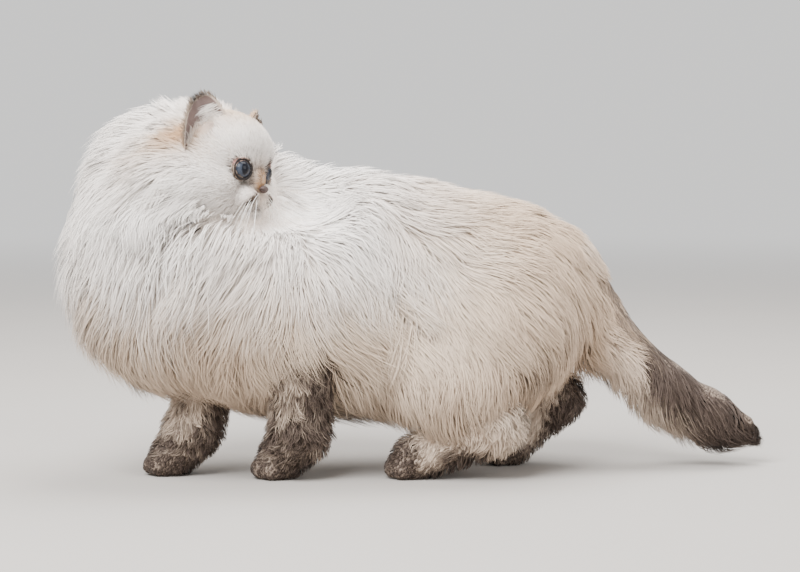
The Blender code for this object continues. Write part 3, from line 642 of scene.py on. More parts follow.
markNames = ("dark", "warm", "white", "pink")  # dark points and painted shade, warm tint, white, bare pink skin
hockSpots = {"places": ((0.104, 0.086), (0.112, 0.092), (0.119, 0.084)), "wide": 0.0028, "high": 0.0040}
bridge = ((0.0, 0.0430, -0.0120), (0.0050, 0.012, 0.0075))
whiskerRoots = (
    (0.0088, 0.0445, -0.0227), (0.0115, 0.0450, -0.0262), (0.0070, 0.0455, -0.0285),
    (0.0100, 0.0440, -0.0310),
)
headSpots = (  # mark, strength, centre, radii, on both sides or not
    ("warm", 0.95, *bridge, False),
    ("dark", 0.16, *bridge, False),
    ("warm", 0.35, (0.0, 0.0420, -0.0220), (0.0120, 0.010, 0.0080), False),  # under the nose
    ("dark", 0.58, (0.0, 0.0415, -0.0045), (0.0062, 0.010, 0.0065), False),  # between the eyes
    ("warm", 0.45, (0.0, 0.0415, -0.0035), (0.0075, 0.010, 0.0075), False),
    ("dark", 0.50, (-0.0110, 0.0396, 0.0044), (0.0040, 0.008, 0.0050), False),  # painted shade on the brow over the far eye, and on the next line round that eye
    ("dark", 0.55, (-0.0100, 0.0390, -0.0020), (0.0040, 0.010, 0.0085), False),
    ("dark", 0.50, (0.0, 0.0420, -0.0355), (0.0125, 0.012, 0.0095), False),  # round the mouth
    ("dark", 0.60, (0.0070, 0.0390, -0.0122), (0.0030, 0.006, 0.0035), True),  # below the eye's inner corner
    ("dark", 0.22, (0.0085, 0.0385, -0.0030), (0.0028, 0.006, 0.0075), True),
    ("pink", 0.90, (0.0275, 0.0300, 0.0034), (0.0045, 0.006, 0.0026), True),  # bare skin at the lids
    ("pink", 0.50, (0.0215, 0.0350, 0.0062), (0.0055, 0.006, 0.0018), True),
    *[("dark", 0.75, root, (0.0012, 0.0030, 0.0012), True) for root in whiskerRoots],
)


# painted shade: soft grey patches laid at random over the coat
def shadePatchesAt(points):
    return ramp(ripple(points, 60.0, 5), 0.1, 0.8)


def markTrunk(marks, mine, points):
    x, y, z = points.T
    back = ramp(z, 0.19, 0.25) * ramp(x, -0.10, 0.0)
    haunch = ramp(x, 0.03, 0.13)
    low = ramp(z, 0.15, 0.07)
    under = ramp(x, -0.08, -0.16) * ramp(z, 0.245, 0.185)
    forearm = np.exp(-(((x + 0.078) / 0.013) ** 2) - ((z - 0.108) / 0.026) ** 2)  # it runs up into the coat
    marks["warm"] += mine * (0.17 * back + 0.26 * haunch + 0.12 * low + 0.16 * under)
    marks["white"] += mine * 0.90 * ramp(x, 0.08, -0.06) * ramp(z, 0.15, 0.22)
    # Painted shade: low, the lower haunch, under (the chest beneath the cheeks) and, on the next line, the chest
    # low between the forelegs darken where the light from above falls off
    dark = 0.08 * ramp(x, 0.0, 0.12) + 0.07 * under + 0.16 * low + 0.14 * haunch * ramp(z, 0.24, 0.10)
    dark += 0.34 * ramp(x, -0.04, -0.10) * ramp(z, 0.115, 0.070)
    dark += 0.52 * forearm * (0.75 + 0.25 * ripple(points, 200.0, 9))
    # painted shade in soft patches, most on the haunch and flank
    dark += 0.13 * shadePatchesAt(points) * (0.15 + haunch + 0.6 * ramp(x, -0.07, 0.0))
    dark += 0.30 * ramp(x, 0.130, 0.150) * ramp(z, 0.12, 0.05)
    for ahead, up in hockSpots["places"]:  # faint, on the near side above the hock
        spot = ((x - ahead) / hockSpots["wide"]) ** 2 + ((z - up) / hockSpots["high"]) ** 2
        dark += 0.30 * np.exp(-spot) * (y < 0.02)
    marks["dark"] += mine * dark


def markTail(marks, mine, points):
    x, _, z = points.T
    above = ramp(z - tailAxis(x), 0.0, 0.016) * ramp(x, 0.146, 0.185)
    streak = 0.5 + 0.5 * ripple(points * np.array((0.5, 1.0, 1.6)), 150.0, 7)
    tip = ramp(x + 0.20 * (z - 0.07) + 0.012 * ripple(points, 90.0, 17), 0.185, 0.278)
    brush = tip * (0.68 + 0.45 * np.maximum(above, ramp(x, 0.24, 0.28)) + 0.16 * streak)
    marks["warm"] += mine * 0.30
    marks["white"] += mine * 0.25 * (1.0 - above)
    marks["dark"] += mine * (0.08 + 0.46 * above * (0.35 + 0.65 * streak) + brush)


def markHead(marks, mine, points):
    h = toHead(points)
    hollow = earHollow(h)
    crown = spotted(h, (0.0, 0.010, 0.046), (0.030, 0.030, 0.016))
    tan = pairSpotted(h, (0.0450, -0.0150, 0.0280), (0.016, 0.021, 0.024))
    marks["warm"] += mine * (0.95 * tan + 0.25 * crown)
    marks["white"] += mine * 0.9 * (1 - crown) * np.clip(1 - tan, 0, 1)
    # painted shade: grey patches over the tan, and dark deep in the ear's hollow, where a little pink skin shows
    # too
    marks["dark"] += mine * (0.16 * tan * shadePatchesAt(points) + 0.50 * np.clip(hollow * 1.3, 0, 1))
    marks["pink"] += mine * 0.15 * hollow
    for mark, strength, centre, radii, both in headSpots:
        marks[mark] += mine * strength * (pairSpotted if both else spotted)(h, centre, radii)
    brow = pairSpotted(h, (0.0090, 0.0395, 0.0070), (0.0055, 0.010, 0.0080))
    marks["dark"] += mine * 0.18 * brow * ramp(ripple(points, 320.0, 21), -0.3, 0.5)
    for side in (1, -1):
        along, across = eyeReach(h, side)
        ahead = ramp(along, 0.0, 0.004)
        rim = np.exp(-((np.maximum(across - 0.0096, 0.0) / 0.0013) ** 2)) * ahead
        inward = ramp((h - eyePlace(side))[:, 0] * side, 0.004, -0.008)
        mouth = np.exp(-((headLine(h, "mouth", side) / 0.0020) ** 2))
        fold = np.exp(-((headLine(h, "padFold", side) / 0.0028) ** 2))
        socket = 0.95 * ramp(across, 0.0104, 0.0094) * ahead
        # the dark along the pad's fold is painted shade in its crease
        marks["dark"] += mine * (socket + (0.35 + 0.45 * inward) * rim + 0.75 * mouth + 0.85 * fold)


def markingsAndShade(points, region):
    marks = {name: np.zeros(len(points)) for name in markNames}
    marks["warm"] += 0.07 + 0.08 * ripple(points, 26.0, 3)
    markTrunk(marks, inRegion(region, "trunk"), points)
    markTail(marks, inRegion(region, "tail"), points)
    for index, leg in enumerate(legs):
        mine = inRegion(region, leg)
        marks["dark"] += mine * legDark(points, leg, 11 + index)
        marks["warm"] += mine * 0.16
        marks["white"] += mine * 0.15
    markHead(marks, inRegion(region, "head"), points)
    return np.stack([np.clip(marks[name], 0.0, 1.0) for name in markNames], axis=1)


# Skin: one closed surface under the coat

skin = {
    "share": 0.50, "legShare": 0.45, "faceShare": 0.40, "cell": 0.0034, "socketRoom": 0.0003,
    "headReach": 0.12, "legSoft": 0.010, "faceSoft": 0.012, "lidSoft": 0.0035, "mouthSoft": 0.0012,
    "socketSoft": 0.0006,
}


def lidDistance(h):
    total = np.full(len(h), 1.0)
    for side in (1, -1):
        along, across = eyeReach(h, side)
        lid = np.hypot(across - eye["lidRing"], along - eye["lidForward"]) - eye["lidThick"]
        total = np.minimum(total, lid)
    return total


def skinDistance(points):
    total = bodyDistance(points, skin["share"])
    for leg in legs:
        total = fuse(total, legDistance(points, leg, skin["legShare"]), skin["legSoft"])
    h = toHead(points)
    near = np.linalg.norm(h, axis=1) < skin["headReach"]
    face = np.full(len(points), 1.0)
    face[near] = headShape(h[near], skin["faceShare"])
    total = fuse(total, face, skin["faceSoft"])
    front = near & (h[:, 1] > 0.0)
    if front.any():
        f = h[front]
        shape = fuse(total[front], lidDistance(f), skin["lidSoft"])
        for side in (1, -1):
            mouth = headLine(f, "mouth", side) - head["mouthRadius"]
            shape = -fuse(-shape, mouth, skin["mouthSoft"])
            socket = np.linalg.norm(f - eyePlace(side), axis=1) - eye["radius"] - skin["socketRoom"]
            shape = -fuse(-shape, socket, skin["socketSoft"])
        total[front] = shape
    return total


def refine(made, inside):
    solid = bmesh.new()
    solid.from_mesh(made.data)
    centres = toHead(np.array([face.calc_center_median()[:] for face in solid.faces]))
    chosen = inside(centres)
    edges = {edge for face, wanted in zip(solid.faces, chosen, strict=True) if wanted for edge in face.edges}
    bmesh.ops.subdivide_edges(solid, edges=list(edges), cuts=1, use_grid_fill=True)
    bmesh.ops.triangulate(solid, faces=[face for face in solid.faces if len(face.verts) > 4])
    solid.to_mesh(made.data)
    solid.free()
    return made


def onHeadFront(h, behind=0.004):
    return (h[:, 1] > behind) & (np.linalg.norm(h, axis=1) < 0.075)


def onMuzzle(h):
    return onHeadFront(h, 0.018) & (np.abs(h[:, 0]) < 0.034) & (h[:, 2] > -0.050) & (h[:, 2] < 0.016)


def addEgg(shell, matrix, centre, radii):
    egg = matrix @ Matrix.Translation(Vector(centre)) @ Matrix.Diagonal((*radii, 1.0))
    bmesh.ops.create_icosphere(shell, subdivisions=3, radius=1.0, matrix=egg)


def makeSkin():
    shell = bmesh.new()
    limbs = [(trunkBones, skin["share"], build["trunkWidth"]), (tailBones, skin["share"], 1.0)]
    limbs += [(legBones(leg), skin["legShare"], 1.0) for leg in legs]
    balls = []
    for bones, share, squeeze in limbs:
        for first, last in bones:
            start, startRadius = jointAt(first, share)
            end, endRadius = jointAt(last, share)
            count = 2 + int(np.linalg.norm(end - start) / (0.4 * min(startRadius, endRadius)))
            for along in np.linspace(0.0, 1.0, count):
                radius = startRadius + along * (endRadius - startRadius)
                balls.append((start + along * (end - start), (radius, radius * squeeze, radius)))
    for leg in legs:
        balls += list(toeEggs(leg, skin["legShare"]))
    for centre, radii in balls:
        addEgg(shell, Matrix.Identity(4), centre, radii)
    for centre, radii, _ in headForms(skin["faceShare"]):
        addEgg(shell, headFrame(), centre, radii)
    mesh = bpy.data.meshes.new("catSkin")
    shell.to_mesh(mesh)
    shell.free()
    made = linked("catSkin", mesh)
    for rounds in (2, 3):
        remesh = made.modifiers.new("evenFaces", "REMESH")
        remesh.mode = "VOXEL"
        remesh.voxel_size = skin["cell"]
        applied(made)
        relaxed(made, skinDistance, rounds)
    refine(made, onHeadFront)
    relaxed(made, skinDistance, 2)
    refine(made, onMuzzle)
    relaxed(made, skinDistance, 2, lambda points: toHead(points)[:, 1] > 0.0)
    return smooth(made)


catSkin = makeSkin()
skinPoints = meshPoints(catSkin.data)
skinRegion = regionOf(skinPoints, skin["share"])
paintPoints(catSkin.data, "marks", markingsAndShade(skinPoints, skinRegion))
catSkin.data.materials.append(skinFinish("underfur"))
print("skin", len(catSkin.data.polygons), "faces")


# Coat: tufts rooted on the skin, combed along the lie of the fur and gathered into locks

catSkin.data.calc_loop_triangles()
skinTriangles = np.empty(len(catSkin.data.loop_triangles) * 3, np.int32)
catSkin.data.loop_triangles.foreach_get("vertices", skinTriangles)
skinTriangles = skinTriangles.reshape(-1, 3)
triangleCorners = skinPoints[skinTriangles]
firstEdge, secondEdge = (triangleCorners[:, corner] - triangleCorners[:, 0] for corner in (1, 2))
triangleCross = np.cross(firstEdge, secondEdge)
triangleArea = np.linalg.norm(triangleCross, axis=1) / 2
triangleNormal = unit(triangleCross)
triangleCentre = triangleCorners.mean(axis=1)
triangleRegion = regionOf(triangleCentre, skin["share"])


def sowRoots(weights, count, rng):
    total = np.cumsum(triangleArea * weights)
    chosen = np.searchsorted(total, (np.arange(count) + rng.random(count)) / count * total[-1])
    chosen = np.minimum(chosen, len(total) - 1)
    a, b = rng.random((2, count, 1))
    a, b = np.where(a + b > 1, 1 - a, a), np.where(a + b > 1, 1 - b, b)
    corner = triangleCorners[chosen]
    roots = corner[:, 0] + a * (corner[:, 1] - corner[:, 0]) + b * (corner[:, 2] - corner[:, 0])
    return roots, triangleNormal[chosen]


def nearestOf(points, guides):
    tree = kdtree.KDTree(len(guides))
    for index, guide in enumerate(guides):
        tree.insert(guide, index)
    tree.balance()
    return np.array([tree.find(point)[1] for point in points])


def gather(lines, groups, pull):  # tips are drawn towards the leader of their group
    along = np.linspace(0.0, 1.0, lines.shape[1])[None, :, None]
    return lines + (lines[groups] - lines) * pull[:, None, None] * along**1.3


tuftShape = {"root": 0.45, "taper": 0.72, "soft": 0.60}


def unwrapOf(roots, normals):  # where each tuft lies in OFBake: six patches, one for each way a root can face
    main = np.argmax(np.abs(normals), axis=1)
    sides = main * 2 + (np.take_along_axis(normals, main[:, None], 1)[:, 0] < 0)
    places = np.zeros((len(roots), 2))
    for side in range(6):
        mine = sides == side
        if not mine.any():
            continue
        flat = np.delete(roots[mine], side // 2, axis=1)
        low, high = flat.min(axis=0), flat.max(axis=0)
        places[mine] = (flat - low) / np.maximum(high - low, 1e-4)
        places[mine] = (places[mine] * 0.94 + 0.03 + np.array((side % 3, side // 3))) / np.array((3.0, 2.0))
    return places


def tuftMesh(name, lines, normals, coatNormals, widths, depths, marks, chances, unwrap):
    count, rings = lines.shape[0], lines.shape[1] - 1
    ways = unit(np.gradient(lines, axis=1))
    across = unit(np.cross(ways, normals))
    up = np.cross(across, ways)
    along = np.arange(rings) / rings
    swell = np.sin(np.pi * np.minimum(along * 1.35 + 0.15, 0.5))
    shape = tuftShape["root"] + (1.0 - tuftShape["root"]) * swell
    shape = shape * (1.0 - along**2.0 * tuftShape["taper"])
    half = 0.5 * widths[:, None, None] * shape[None, :, None]
    high = depths[:, None, None] * shape[None, :, None]
    body, side, ridge = lines[:, :rings], across[:, :rings], up[:, :rings]
    points = np.empty((count, rings * 3 + 1, 3))
    points[:, 0:-1:3] = body - side * half
    points[:, 1:-1:3] = body + ridge * high
    points[:, 2:-1:3] = body + side * half
    points[:, -1] = lines[:, -1]
    facing = np.empty_like(points)
    facing[:, 0:-1:3] = 0.3 * ridge - side
    facing[:, 1:-1:3] = ridge
    facing[:, 2:-1:3] = 0.3 * ridge + side
    facing[:, -1] = up[:, -1]
    lie = np.concatenate([np.repeat(coatNormals[:, :rings], 3, axis=1), coatNormals[:, -1:]], axis=1)
    facing = unit(tuftShape["soft"] * lie + (1.0 - tuftShape["soft"]) * facing)
    quads = []
    for ring in range(rings - 1):
        for corner in range(3):
            a = ring * 3 + corner
            b = ring * 3 + (corner + 1) % 3
            quads.append((a, b, b + 3, a + 3))
    last = (rings - 1) * 3
    triangles = [(last + corner, last + (corner + 1) % 3, rings * 3) for corner in range(3)] + [(0, 2, 1)]
    starts = (np.arange(count) * (rings * 3 + 1))[:, None, None]
    groups = [(np.array(faces)[None] + starts).reshape(-1, len(faces[0])) for faces in (quads, triangles)]
    mesh = arrayMesh(name, points.reshape(-1, 3), groups)
    alongPoint = np.append(np.repeat(along, 3), 1.0)
    strand = np.ones((count, rings * 3 + 1, 4))
    strand[:, :, 0] = alongPoint
    strand[:, :, 1] = chances[:, 0:1]
    strand[:, :, 2] = chances[:, 1:2]
    paintPoints(mesh, "strand", strand.reshape(-1, 4))
    paintPoints(mesh, "marks", np.repeat(marks, rings * 3 + 1, axis=0))
    patch = np.empty((count, rings * 3 + 1, 2))
    patch[:, :, 0] = unwrap[:, 0:1] + np.append(np.tile((-0.0015, 0.0, 0.0015), rings), 0.0)
    patch[:, :, 1] = unwrap[:, 1:2] + (alongPoint - 0.5) * 0.003
    paintMap(mesh, "OFBake", patch.reshape(-1, 2))
    mesh.normals_split_custom_set_from_vertices(facing.reshape(-1, 3))
    return mesh


def combed(roots, outward, lengths, rise, sway, hug, settings):
    field, flow, rings = settings["field"], settings["flow"], settings["rings"]
    points = roots - outward * settings["sink"]
    lines = [points]
    normals = [outward]
    for ring in range(1, rings + 1):
        along = ring / rings
        way = flow(points, outward)
        # most of the outward part goes, so that over a tip the tufts still run on outward
        way = unit(way - 0.88 * outward * (way * outward).sum(1, keepdims=True))
        way = unit(way + np.cross(outward, way) * (sway * (0.4 + along))[:, None])
        share = settings["root"] + (rise - settings["root"]) * along ** settings["lift"]
        ahead = points + way * (lengths / rings)[:, None]
        offset = field(ahead, 0.0) - field(ahead, 1.0)  # the coat's own depth here
        target = field(ahead, 0.0) - share * offset
        normal, slope = gradient(lambda spots: field(spots, 0.7), ahead)
        points = ahead - normal * (hug * np.clip(target / slope, -0.02, 0.02))[:, None]
        points[:, 2] = np.maximum(points[:, 2], settings["floor"])
        outward = normal
        lines.append(points)
        normals.append(outward)
    return np.stack(lines, axis=1), np.stack(normals, axis=1)


growth = {  # what every coat's tufts keep to
    "lengths": (0.72, 1.12), "lockLengths": (0.85, 1.12), "underTip": 0.74, "wispRise": 0.15,
    "mostRise": 0.20, "wispHug": 0.35, "fullTurn": 6.3, "phaseSpread": 0.5, "lockPulls": (0.4, 1.0),
    "tuftPulls": (0.3, 1.0),
    "widths": (0.7, 1.3), "wispWidth": 0.4,
    "underDepth": 0.14, "depth": 0.45, "underTwist": 0.3, "fewest": 8,
}


def leadersOf(roots, size, rng):  # for each root the nearest of some that are chosen at random
    chosen = rng.choice(len(roots), max(growth["fewest"], int(len(roots) / size)), replace=False)
    return chosen[nearestOf(roots, roots[chosen])]


def growCoat(name, settings, finish, slot, seed):
    rng = np.random.default_rng(seed)
    roots, outward = sowRoots(settings["where"](triangleCentre, triangleRegion), settings["count"], rng)
    count = len(roots)
    lock = leadersOf(roots, settings["lock"], rng)
    chances = np.stack([rng.random(count), rng.random(count)[lock]], axis=1)
    under = rng.random(count) < settings["under"]  # wide and low, closing the coat below the fine tufts
    wisp = rng.random(count) < settings["wisps"]
    lengths = settings["length"](roots) * rng.uniform(*growth["lengths"], count)
    lengths = lengths * rng.uniform(*growth["lockLengths"], count)[lock]
    rise = settings["tip"] + rng.normal(0.0, settings["loose"], count)
    rise = rise + rng.normal(0.0, settings["lockLoose"], count)[lock]
    rise = np.minimum(rise + growth["wispRise"] * wisp, settings["tip"] + growth["mostRise"])
    rise = np.where(under, settings["tip"] * growth["underTip"], rise)
    sway = settings["sway"] * ripple(roots, settings["swayScale"], 31)
    sway = sway + rng.normal(0.0, settings["stray"], count)
    sway = sway + rng.normal(0.0, settings["lockStray"], count)[lock]
    hug = settings["hug"] * (1.0 - growth["wispHug"] * wisp)
    lines, normals = combed(roots, outward, lengths, rise, sway, hug, settings)
    across = unit(np.cross(np.gradient(lines, axis=1), normals))
    along = np.linspace(0.0, 1.0, lines.shape[1])[None]
    phase = rng.uniform(0.0, growth["fullTurn"], count)[lock] + rng.normal(0.0, growth["phaseSpread"], count)
    wave = np.sin(phase[:, None] + along * settings["waves"] * growth["fullTurn"])
    wave = wave * along * settings["wave"] * lengths[:, None]
    lines = lines + across * wave[:, :, None]
    free = 1.0 - under
    lines = gather(lines, lock, settings["lockPull"] * rng.uniform(*growth["lockPulls"], count) * free)
    tuft = leadersOf(roots, settings["tuft"], rng)
    lines = gather(lines, tuft, settings["tuftPull"] * rng.uniform(*growth["tuftPulls"], count) * free)
    widths = settings["width"] * rng.uniform(*growth["widths"], count)
    widths = widths * np.where(under, settings["underWidth"], 1.0 - growth["wispWidth"] * wisp)
    depths = np.where(under, growth["underDepth"], growth["depth"]) * widths
    twist = rng.normal(0.0, settings["twist"], count) * np.where(under, growth["underTwist"], 1.0)
    if settings["region"] is None:
        region = regionOf(roots, skin["share"])
    else:
        region = np.full(count, regionNames.index(settings["region"]))
    marks = markingsAndShade(roots, region)
    turned = unit(normals + across * twist[:, None, None])
    mesh = tuftMesh(name, lines, turned, normals, widths, depths, marks, chances, unwrapOf(roots, outward))
    made = place(linked(name, mesh))
    mesh.materials.append(finish)
    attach(made, "root")
    print(name, count, "tufts,", count * (6 * settings["rings"] - 2), "triangles")
    return made


def tailFlow(points):
    nearest = np.full(len(points), np.inf)
    way = np.zeros_like(points)
    for first, last in tailBones:
        start, startRadius = jointAt(first, 0.5)
        end, endRadius = jointAt(last, 0.5)
        away = limbDistance(points, start, end, startRadius, endRadius)
        nearer = away < nearest
        nearest[nearer] = away[nearer]
        hang = 0.35 + 0.55 * ramp(points[nearer, 0], 0.19, 0.27)
        way[nearer] = unit(unit(end - start) - hang[:, None] * np.array((0.0, 0.0, 1.0)))
    return way


def bodyFlow(points, outward):
    down = np.array((0.0, 0.0, -1.0))
    tailward = np.array((1.0, 0.0, 0.0))
    x, z = points[:, 0:1], points[:, 2:3]
    face = np.array(head["place"]) + np.array((0.020, -0.010, 0.030))
    ruff = np.exp(-((np.maximum(x + 0.100, 0.0) / 0.035) ** 2))
    hang = np.clip((0.275 - z) / 0.07, 0.10, 1.0)
    steep = np.clip(1.0 - outward[:, 2:3], 0.0, 1.0)
    low = np.clip((0.125 - z) / 0.05, 0.0, 1.0) * (x < 0.14)
    flow = ruff * unit(0.8 * unit(points - face) + 0.85 * hang * down)
    flow = flow + (1.0 - ruff) * unit(0.75 * tailward + 1.15 * steep * down)
    flow = flow + low * (0.4 * tailward + 1.2 * down)
    tail = np.clip((x - 0.140) / 0.02, 0.0, 1.0)
    return unit(flow * (1.0 - tail) + tailFlow(points) * tail)


def headFlow(points, outward):
    h = toHead(points)
    away = unit(h - np.array((0.0, 0.050, -0.010)))
    long = ramp(headDistance(points, 0.0) - headDistance(points, 1.0), 0.006, 0.014)[:, None]
    way = unit(away + long * np.array((0.0, -0.30, -0.60)))
    return way @ headMatrix[:3, :3].T


def ruffDistance(points, share):  # head and body as one coat, so that the cheeks run into the ruff
    return fuse(bodyDistance(points, share), headDistance(points, share), build["ruffSoft"])


def ruffFlow(points, outward):
    onHead = ramp(headDistance(points, 0.6), 0.016, -0.004)[:, None]
    return unit(headFlow(points, outward) * onHead + bodyFlow(points, outward) * (1.0 - onHead))


def legFlow(points, outward):
    aside, ahead = (ripple(points, 130.0, seed) for seed in (41, 43))
    curl = 0.40 * np.stack([aside, ahead, np.zeros(len(points))], axis=1)
    paw = ramp(points[:, 2], 0.042, 0.024)[:, None]
    return np.array((0.12, 0.0, -1.0)) * (1.0 - paw) + np.array((-0.95, -0.05, -0.42)) * paw + curl


def coatDepth(field, points):
    return np.maximum(field(points, 0.0) - field(points, 1.0), 0.0)


def bodyLength(points):
    return np.clip(0.026 + 1.05 * coatDepth(bodyDistance, points), 0.034, 0.088)


def headLength(points):
    depth = coatDepth(headDistance, points)
    h = toHead(points)
    crown = ramp(h[:, 2], 0.000, 0.030)
    long = 0.0042 + 2.0 * np.maximum(depth - 0.0030, 0.0) * (1.0 - 0.35 * crown)
    return long * (1.0 - 0.62 * np.minimum(behindEar(h), 1.0))


def cheekLength(points):
    h = toHead(points)
    jaw = ramp(h[:, 2], -0.012, -0.034) * ramp(h[:, 1], 0.036, 0.026)
    return headLength(points) + 0.016 * jaw * ramp(coatDepth(headDistance, points), 0.0075, 0.0130)


def faceLength(points):
    h = toHead(points)
    cheek = ramp(np.abs(h[:, 0]), 0.018, 0.030) * ramp(h[:, 2], 0.010, -0.010) * ramp(h[:, 1], 0.034, 0.020)
    jaw = ramp(h[:, 2], -0.026, -0.038) * ramp(h[:, 1], 0.036, 0.024)
    crease = np.min([headLine(h, line, side) for side in (1, -1) for line in ("mouth", "padFold")], axis=0)
    short = 1.0 - 0.60 * np.exp(-((crease / 0.0045) ** 2))  # so that the dark lines aren't combed over
    return (headLength(points) + 0.009 * np.maximum(jaw, cheek)) * short


def tailLength(points):
    return 0.032 + 0.020 * ramp(points[:, 0], 0.16, 0.26)


def legLength(points):
    return 0.0050 + 0.0100 * ramp(points[:, 2], 0.018, 0.075)


def allLegs(points, share):
    return np.min(np.stack([legDistance(points, leg, share) for leg in legs]), axis=0)


def outsideLegs(points):
    return allLegs(points, 1.0) > -0.011


def outsideHead(points):
    return headDistance(points, 0.15) > 0.0


def onBody(low, high):
    def where(points, region):
        x = points[:, 0]
        chosen = inRegion(region, "trunk") & (x >= low) & (x < high)
        return (chosen & outsideLegs(points) & outsideHead(points)).astype(float)
    return where


def onTail(points, region):
    return inRegion(region, "tail").astype(float)


def eyesClear(points, room):
    h = toHead(points)
    clear = earHollow(h) < 0.60
    for side in (1, -1):
        along, across = eyeReach(h, side)
        clear &= ~((across < room) & (along > 0.0))
    noseAway = np.linalg.norm((h - np.array(nose["place"])) / (np.array(nose["radii"]) * 1.15), axis=1)
    mouth = np.min([headLine(h, "mouth", side) for side in (1, -1)], axis=0)
    return clear & (noseAway > 1.0) & (mouth > 0.0012)


def onFace(points, region):
    depth = coatDepth(headDistance, points)
    h = toHead(points)
    long = np.maximum(ramp(depth, 0.0085, 0.0130), ramp(h[:, 1], -0.008, -0.018))
    fine = 1.0 + 1.6 * ramp(h[:, 1], 0.015, 0.040)
    return inRegion(region, "head") * (1.0 - long) * fine * eyesClear(points, 0.0098)


def onCheeks(points, region):
    depth = coatDepth(headDistance, points)
    h = toHead(points)
    long = np.maximum(ramp(depth, 0.0048, 0.0115), ramp(h[:, 1], -0.004, -0.014))
    return inRegion(region, "head") * long * (earHollow(h) < 0.45) * (trunkDistance(points, 0.5) > -0.012)


def onLegs(*names):
    def where(points, region):
        return inRegion(region, *names) * (points[:, 2] > 0.0015) * (trunkDistance(points, 0.85) > -0.012)
    return where


bodySettings = {
    "field": bodyDistance, "flow": bodyFlow, "length": bodyLength, "region": None, "floor": 0.003,
    "rings": 3, "root": 0.50, "tip": 0.98, "lift": 0.70, "sink": 0.002, "hug": 1.0, "width": 0.00092,
    "sway": 0.48, "swayScale": 38.0, "stray": 0.19, "loose": 0.10, "wave": 0.030, "waves": 0.8, "twist": 0.35,
    "lock": 75, "lockPull": 0.42, "lockStray": 0.18, "lockLoose": 0.09, "tuft": 9, "tuftPull": 0.30,
    "under": 0.09, "underWidth": 6.0, "wisps": 0.12,
}
faceSettings = {
    "field": headDistance, "flow": headFlow, "length": headLength, "region": "head", "floor": 0.0,
    "rings": 2, "root": 0.40, "tip": 1.25, "lift": 0.8, "sink": 0.0006, "hug": 0.8, "width": 0.00058,
    "sway": 0.25, "swayScale": 160.0, "stray": 0.16, "loose": 0.25, "wave": 0.0, "waves": 0.0, "twist": 0.4,
    "lock": 30, "lockPull": 0.25, "lockStray": 0.10, "lockLoose": 0.05, "tuft": 5, "tuftPull": 0.3,
    "under": 0.0, "underWidth": 1.0, "wisps": 0.06,
}
legSettings = {
    "field": allLegs, "flow": legFlow, "length": legLength, "region": None, "floor": 0.0006,
    "rings": 3, "root": 0.45, "tip": 1.10, "lift": 0.75, "sink": 0.001, "hug": 0.9, "width": 0.00085,
    "sway": 0.8, "swayScale": 190.0, "stray": 0.22, "loose": 0.16, "wave": 0.16, "waves": 1.1, "twist": 0.4,
    "lock": 22, "lockPull": 0.50, "lockStray": 0.25, "lockLoose": 0.10, "tuft": 5, "tuftPull": 0.35,
    "under": 0.06, "underWidth": 4.0, "wisps": 0.08,
}
ruffSettings = dict(bodySettings, field=ruffDistance, flow=ruffFlow)
tailSettings = dict(
    bodySettings, length=tailLength, hug=0.50, root=0.62, tip=1.12, loose=0.20, stray=0.24, lockPull=0.50,
)
cheekSettings = dict(ruffSettings, length=cheekLength, width=0.00080, tip=0.99, region="head")
coats = {  # piece: settings, slot of the record, seed
    "neckCoat": (dict(ruffSettings, count=12200, where=onBody(-0.40, -0.150)), "long_fur", 101),
    "chestCoat": (dict(ruffSettings, count=12200, where=onBody(-0.150, -0.060)), "long_fur", 102),
    "flankCoat": (dict(bodySettings, count=12200, where=onBody(-0.060, 0.050)), "long_fur", 103),
    "haunchCoat": (dict(bodySettings, count=12200, where=onBody(0.050, 0.40)), "long_fur", 104),
    "tailCoat": (dict(tailSettings, count=7500, where=onTail), "dark_fur", 105),
    "cheekCoat": (dict(cheekSettings, count=9800, where=onCheeks), "long_fur", 106),
    "faceCoat": (dict(faceSettings, length=faceLength, count=15200, where=onFace), "face_fur", 107),
    "frontLegCoat": (dict(legSettings, count=7400, where=onLegs("frontLeft", "frontRight")), "leg_fur", 108),
    "hindLegCoat": (dict(legSettings, count=6200, where=onLegs("hindLeft", "hindRight")), "leg_fur", 109),
}
furMaterial = furFinish("coatFur")
for pieceName, (settings, slotName, seed) in coats.items():
    growCoat(pieceName, settings, furMaterial, slotName, seed)

place(catSkin)
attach(catSkin, "root")
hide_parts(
    "barrel", "chest", "neck", "hindquarters", "head", "tail_base", "tail_tip",
    *[f"{end}_{side}_{part}" for end in ("front", "hind") for side in ("left", "right") for part in ("leg", "paw")],
)


# Eyes, with the lids' dark rims

def eyeFinish():
    finish = Finish("eyeGloss", {"Roughness": 0.30, "Coat Roughness": 0.03, "Specular IOR Level": 0.06})
    across = finish.node("UVMap", {"uv_map": "iris"})
    split = finish.node("SeparateXYZ", {}, {0: across}).socket.node
    u, v = (Wire(finish, split.outputs[axis]) - 0.5 for axis in (0, 1))
    reach = (u * u + v * v) ** 0.5
    slit = (u * u * 2.2 + v * v) ** 0.5
    angle = finish.node("Math", {"operation": "ARCTAN2"}, {0: v, 1: u})
    fibreSpot = finish.node("CombineXYZ", {}, {0: angle * 3.0, 1: reach * 3.0})
    fibres = finish.band(finish.noise(fibreSpot, 6.0, 4.0, 0.6) + reach * 0.6, 0.42, 0.86)
    iris = finish.mix((0.010, 0.013, 0.021), (0.052, 0.062, 0.084), fibres)
    for shade, cover in (
        ((0.012, 0.013, 0.018), finish.band(v, 0.10, 0.34)),  # painted shadow of the upper lid over the iris's top
        ((0.012, 0.014, 0.020), finish.band(reach, 0.34, 0.40)),  # ring round the iris
        ((0.003, 0.0035, 0.007), finish.band(slit, 0.350, 0.285)),  # pupil
        ((0.008, 0.006, 0.006), finish.band(reach, 0.385, 0.405)),  # the rest of the ball
    ):
        iris = finish.mix(iris, shade, cover)
    finish.feed(finish.shader.inputs["Coat Weight"], finish.band(reach, 0.40, 0.30) * 0.30)
    return finish.done(iris)


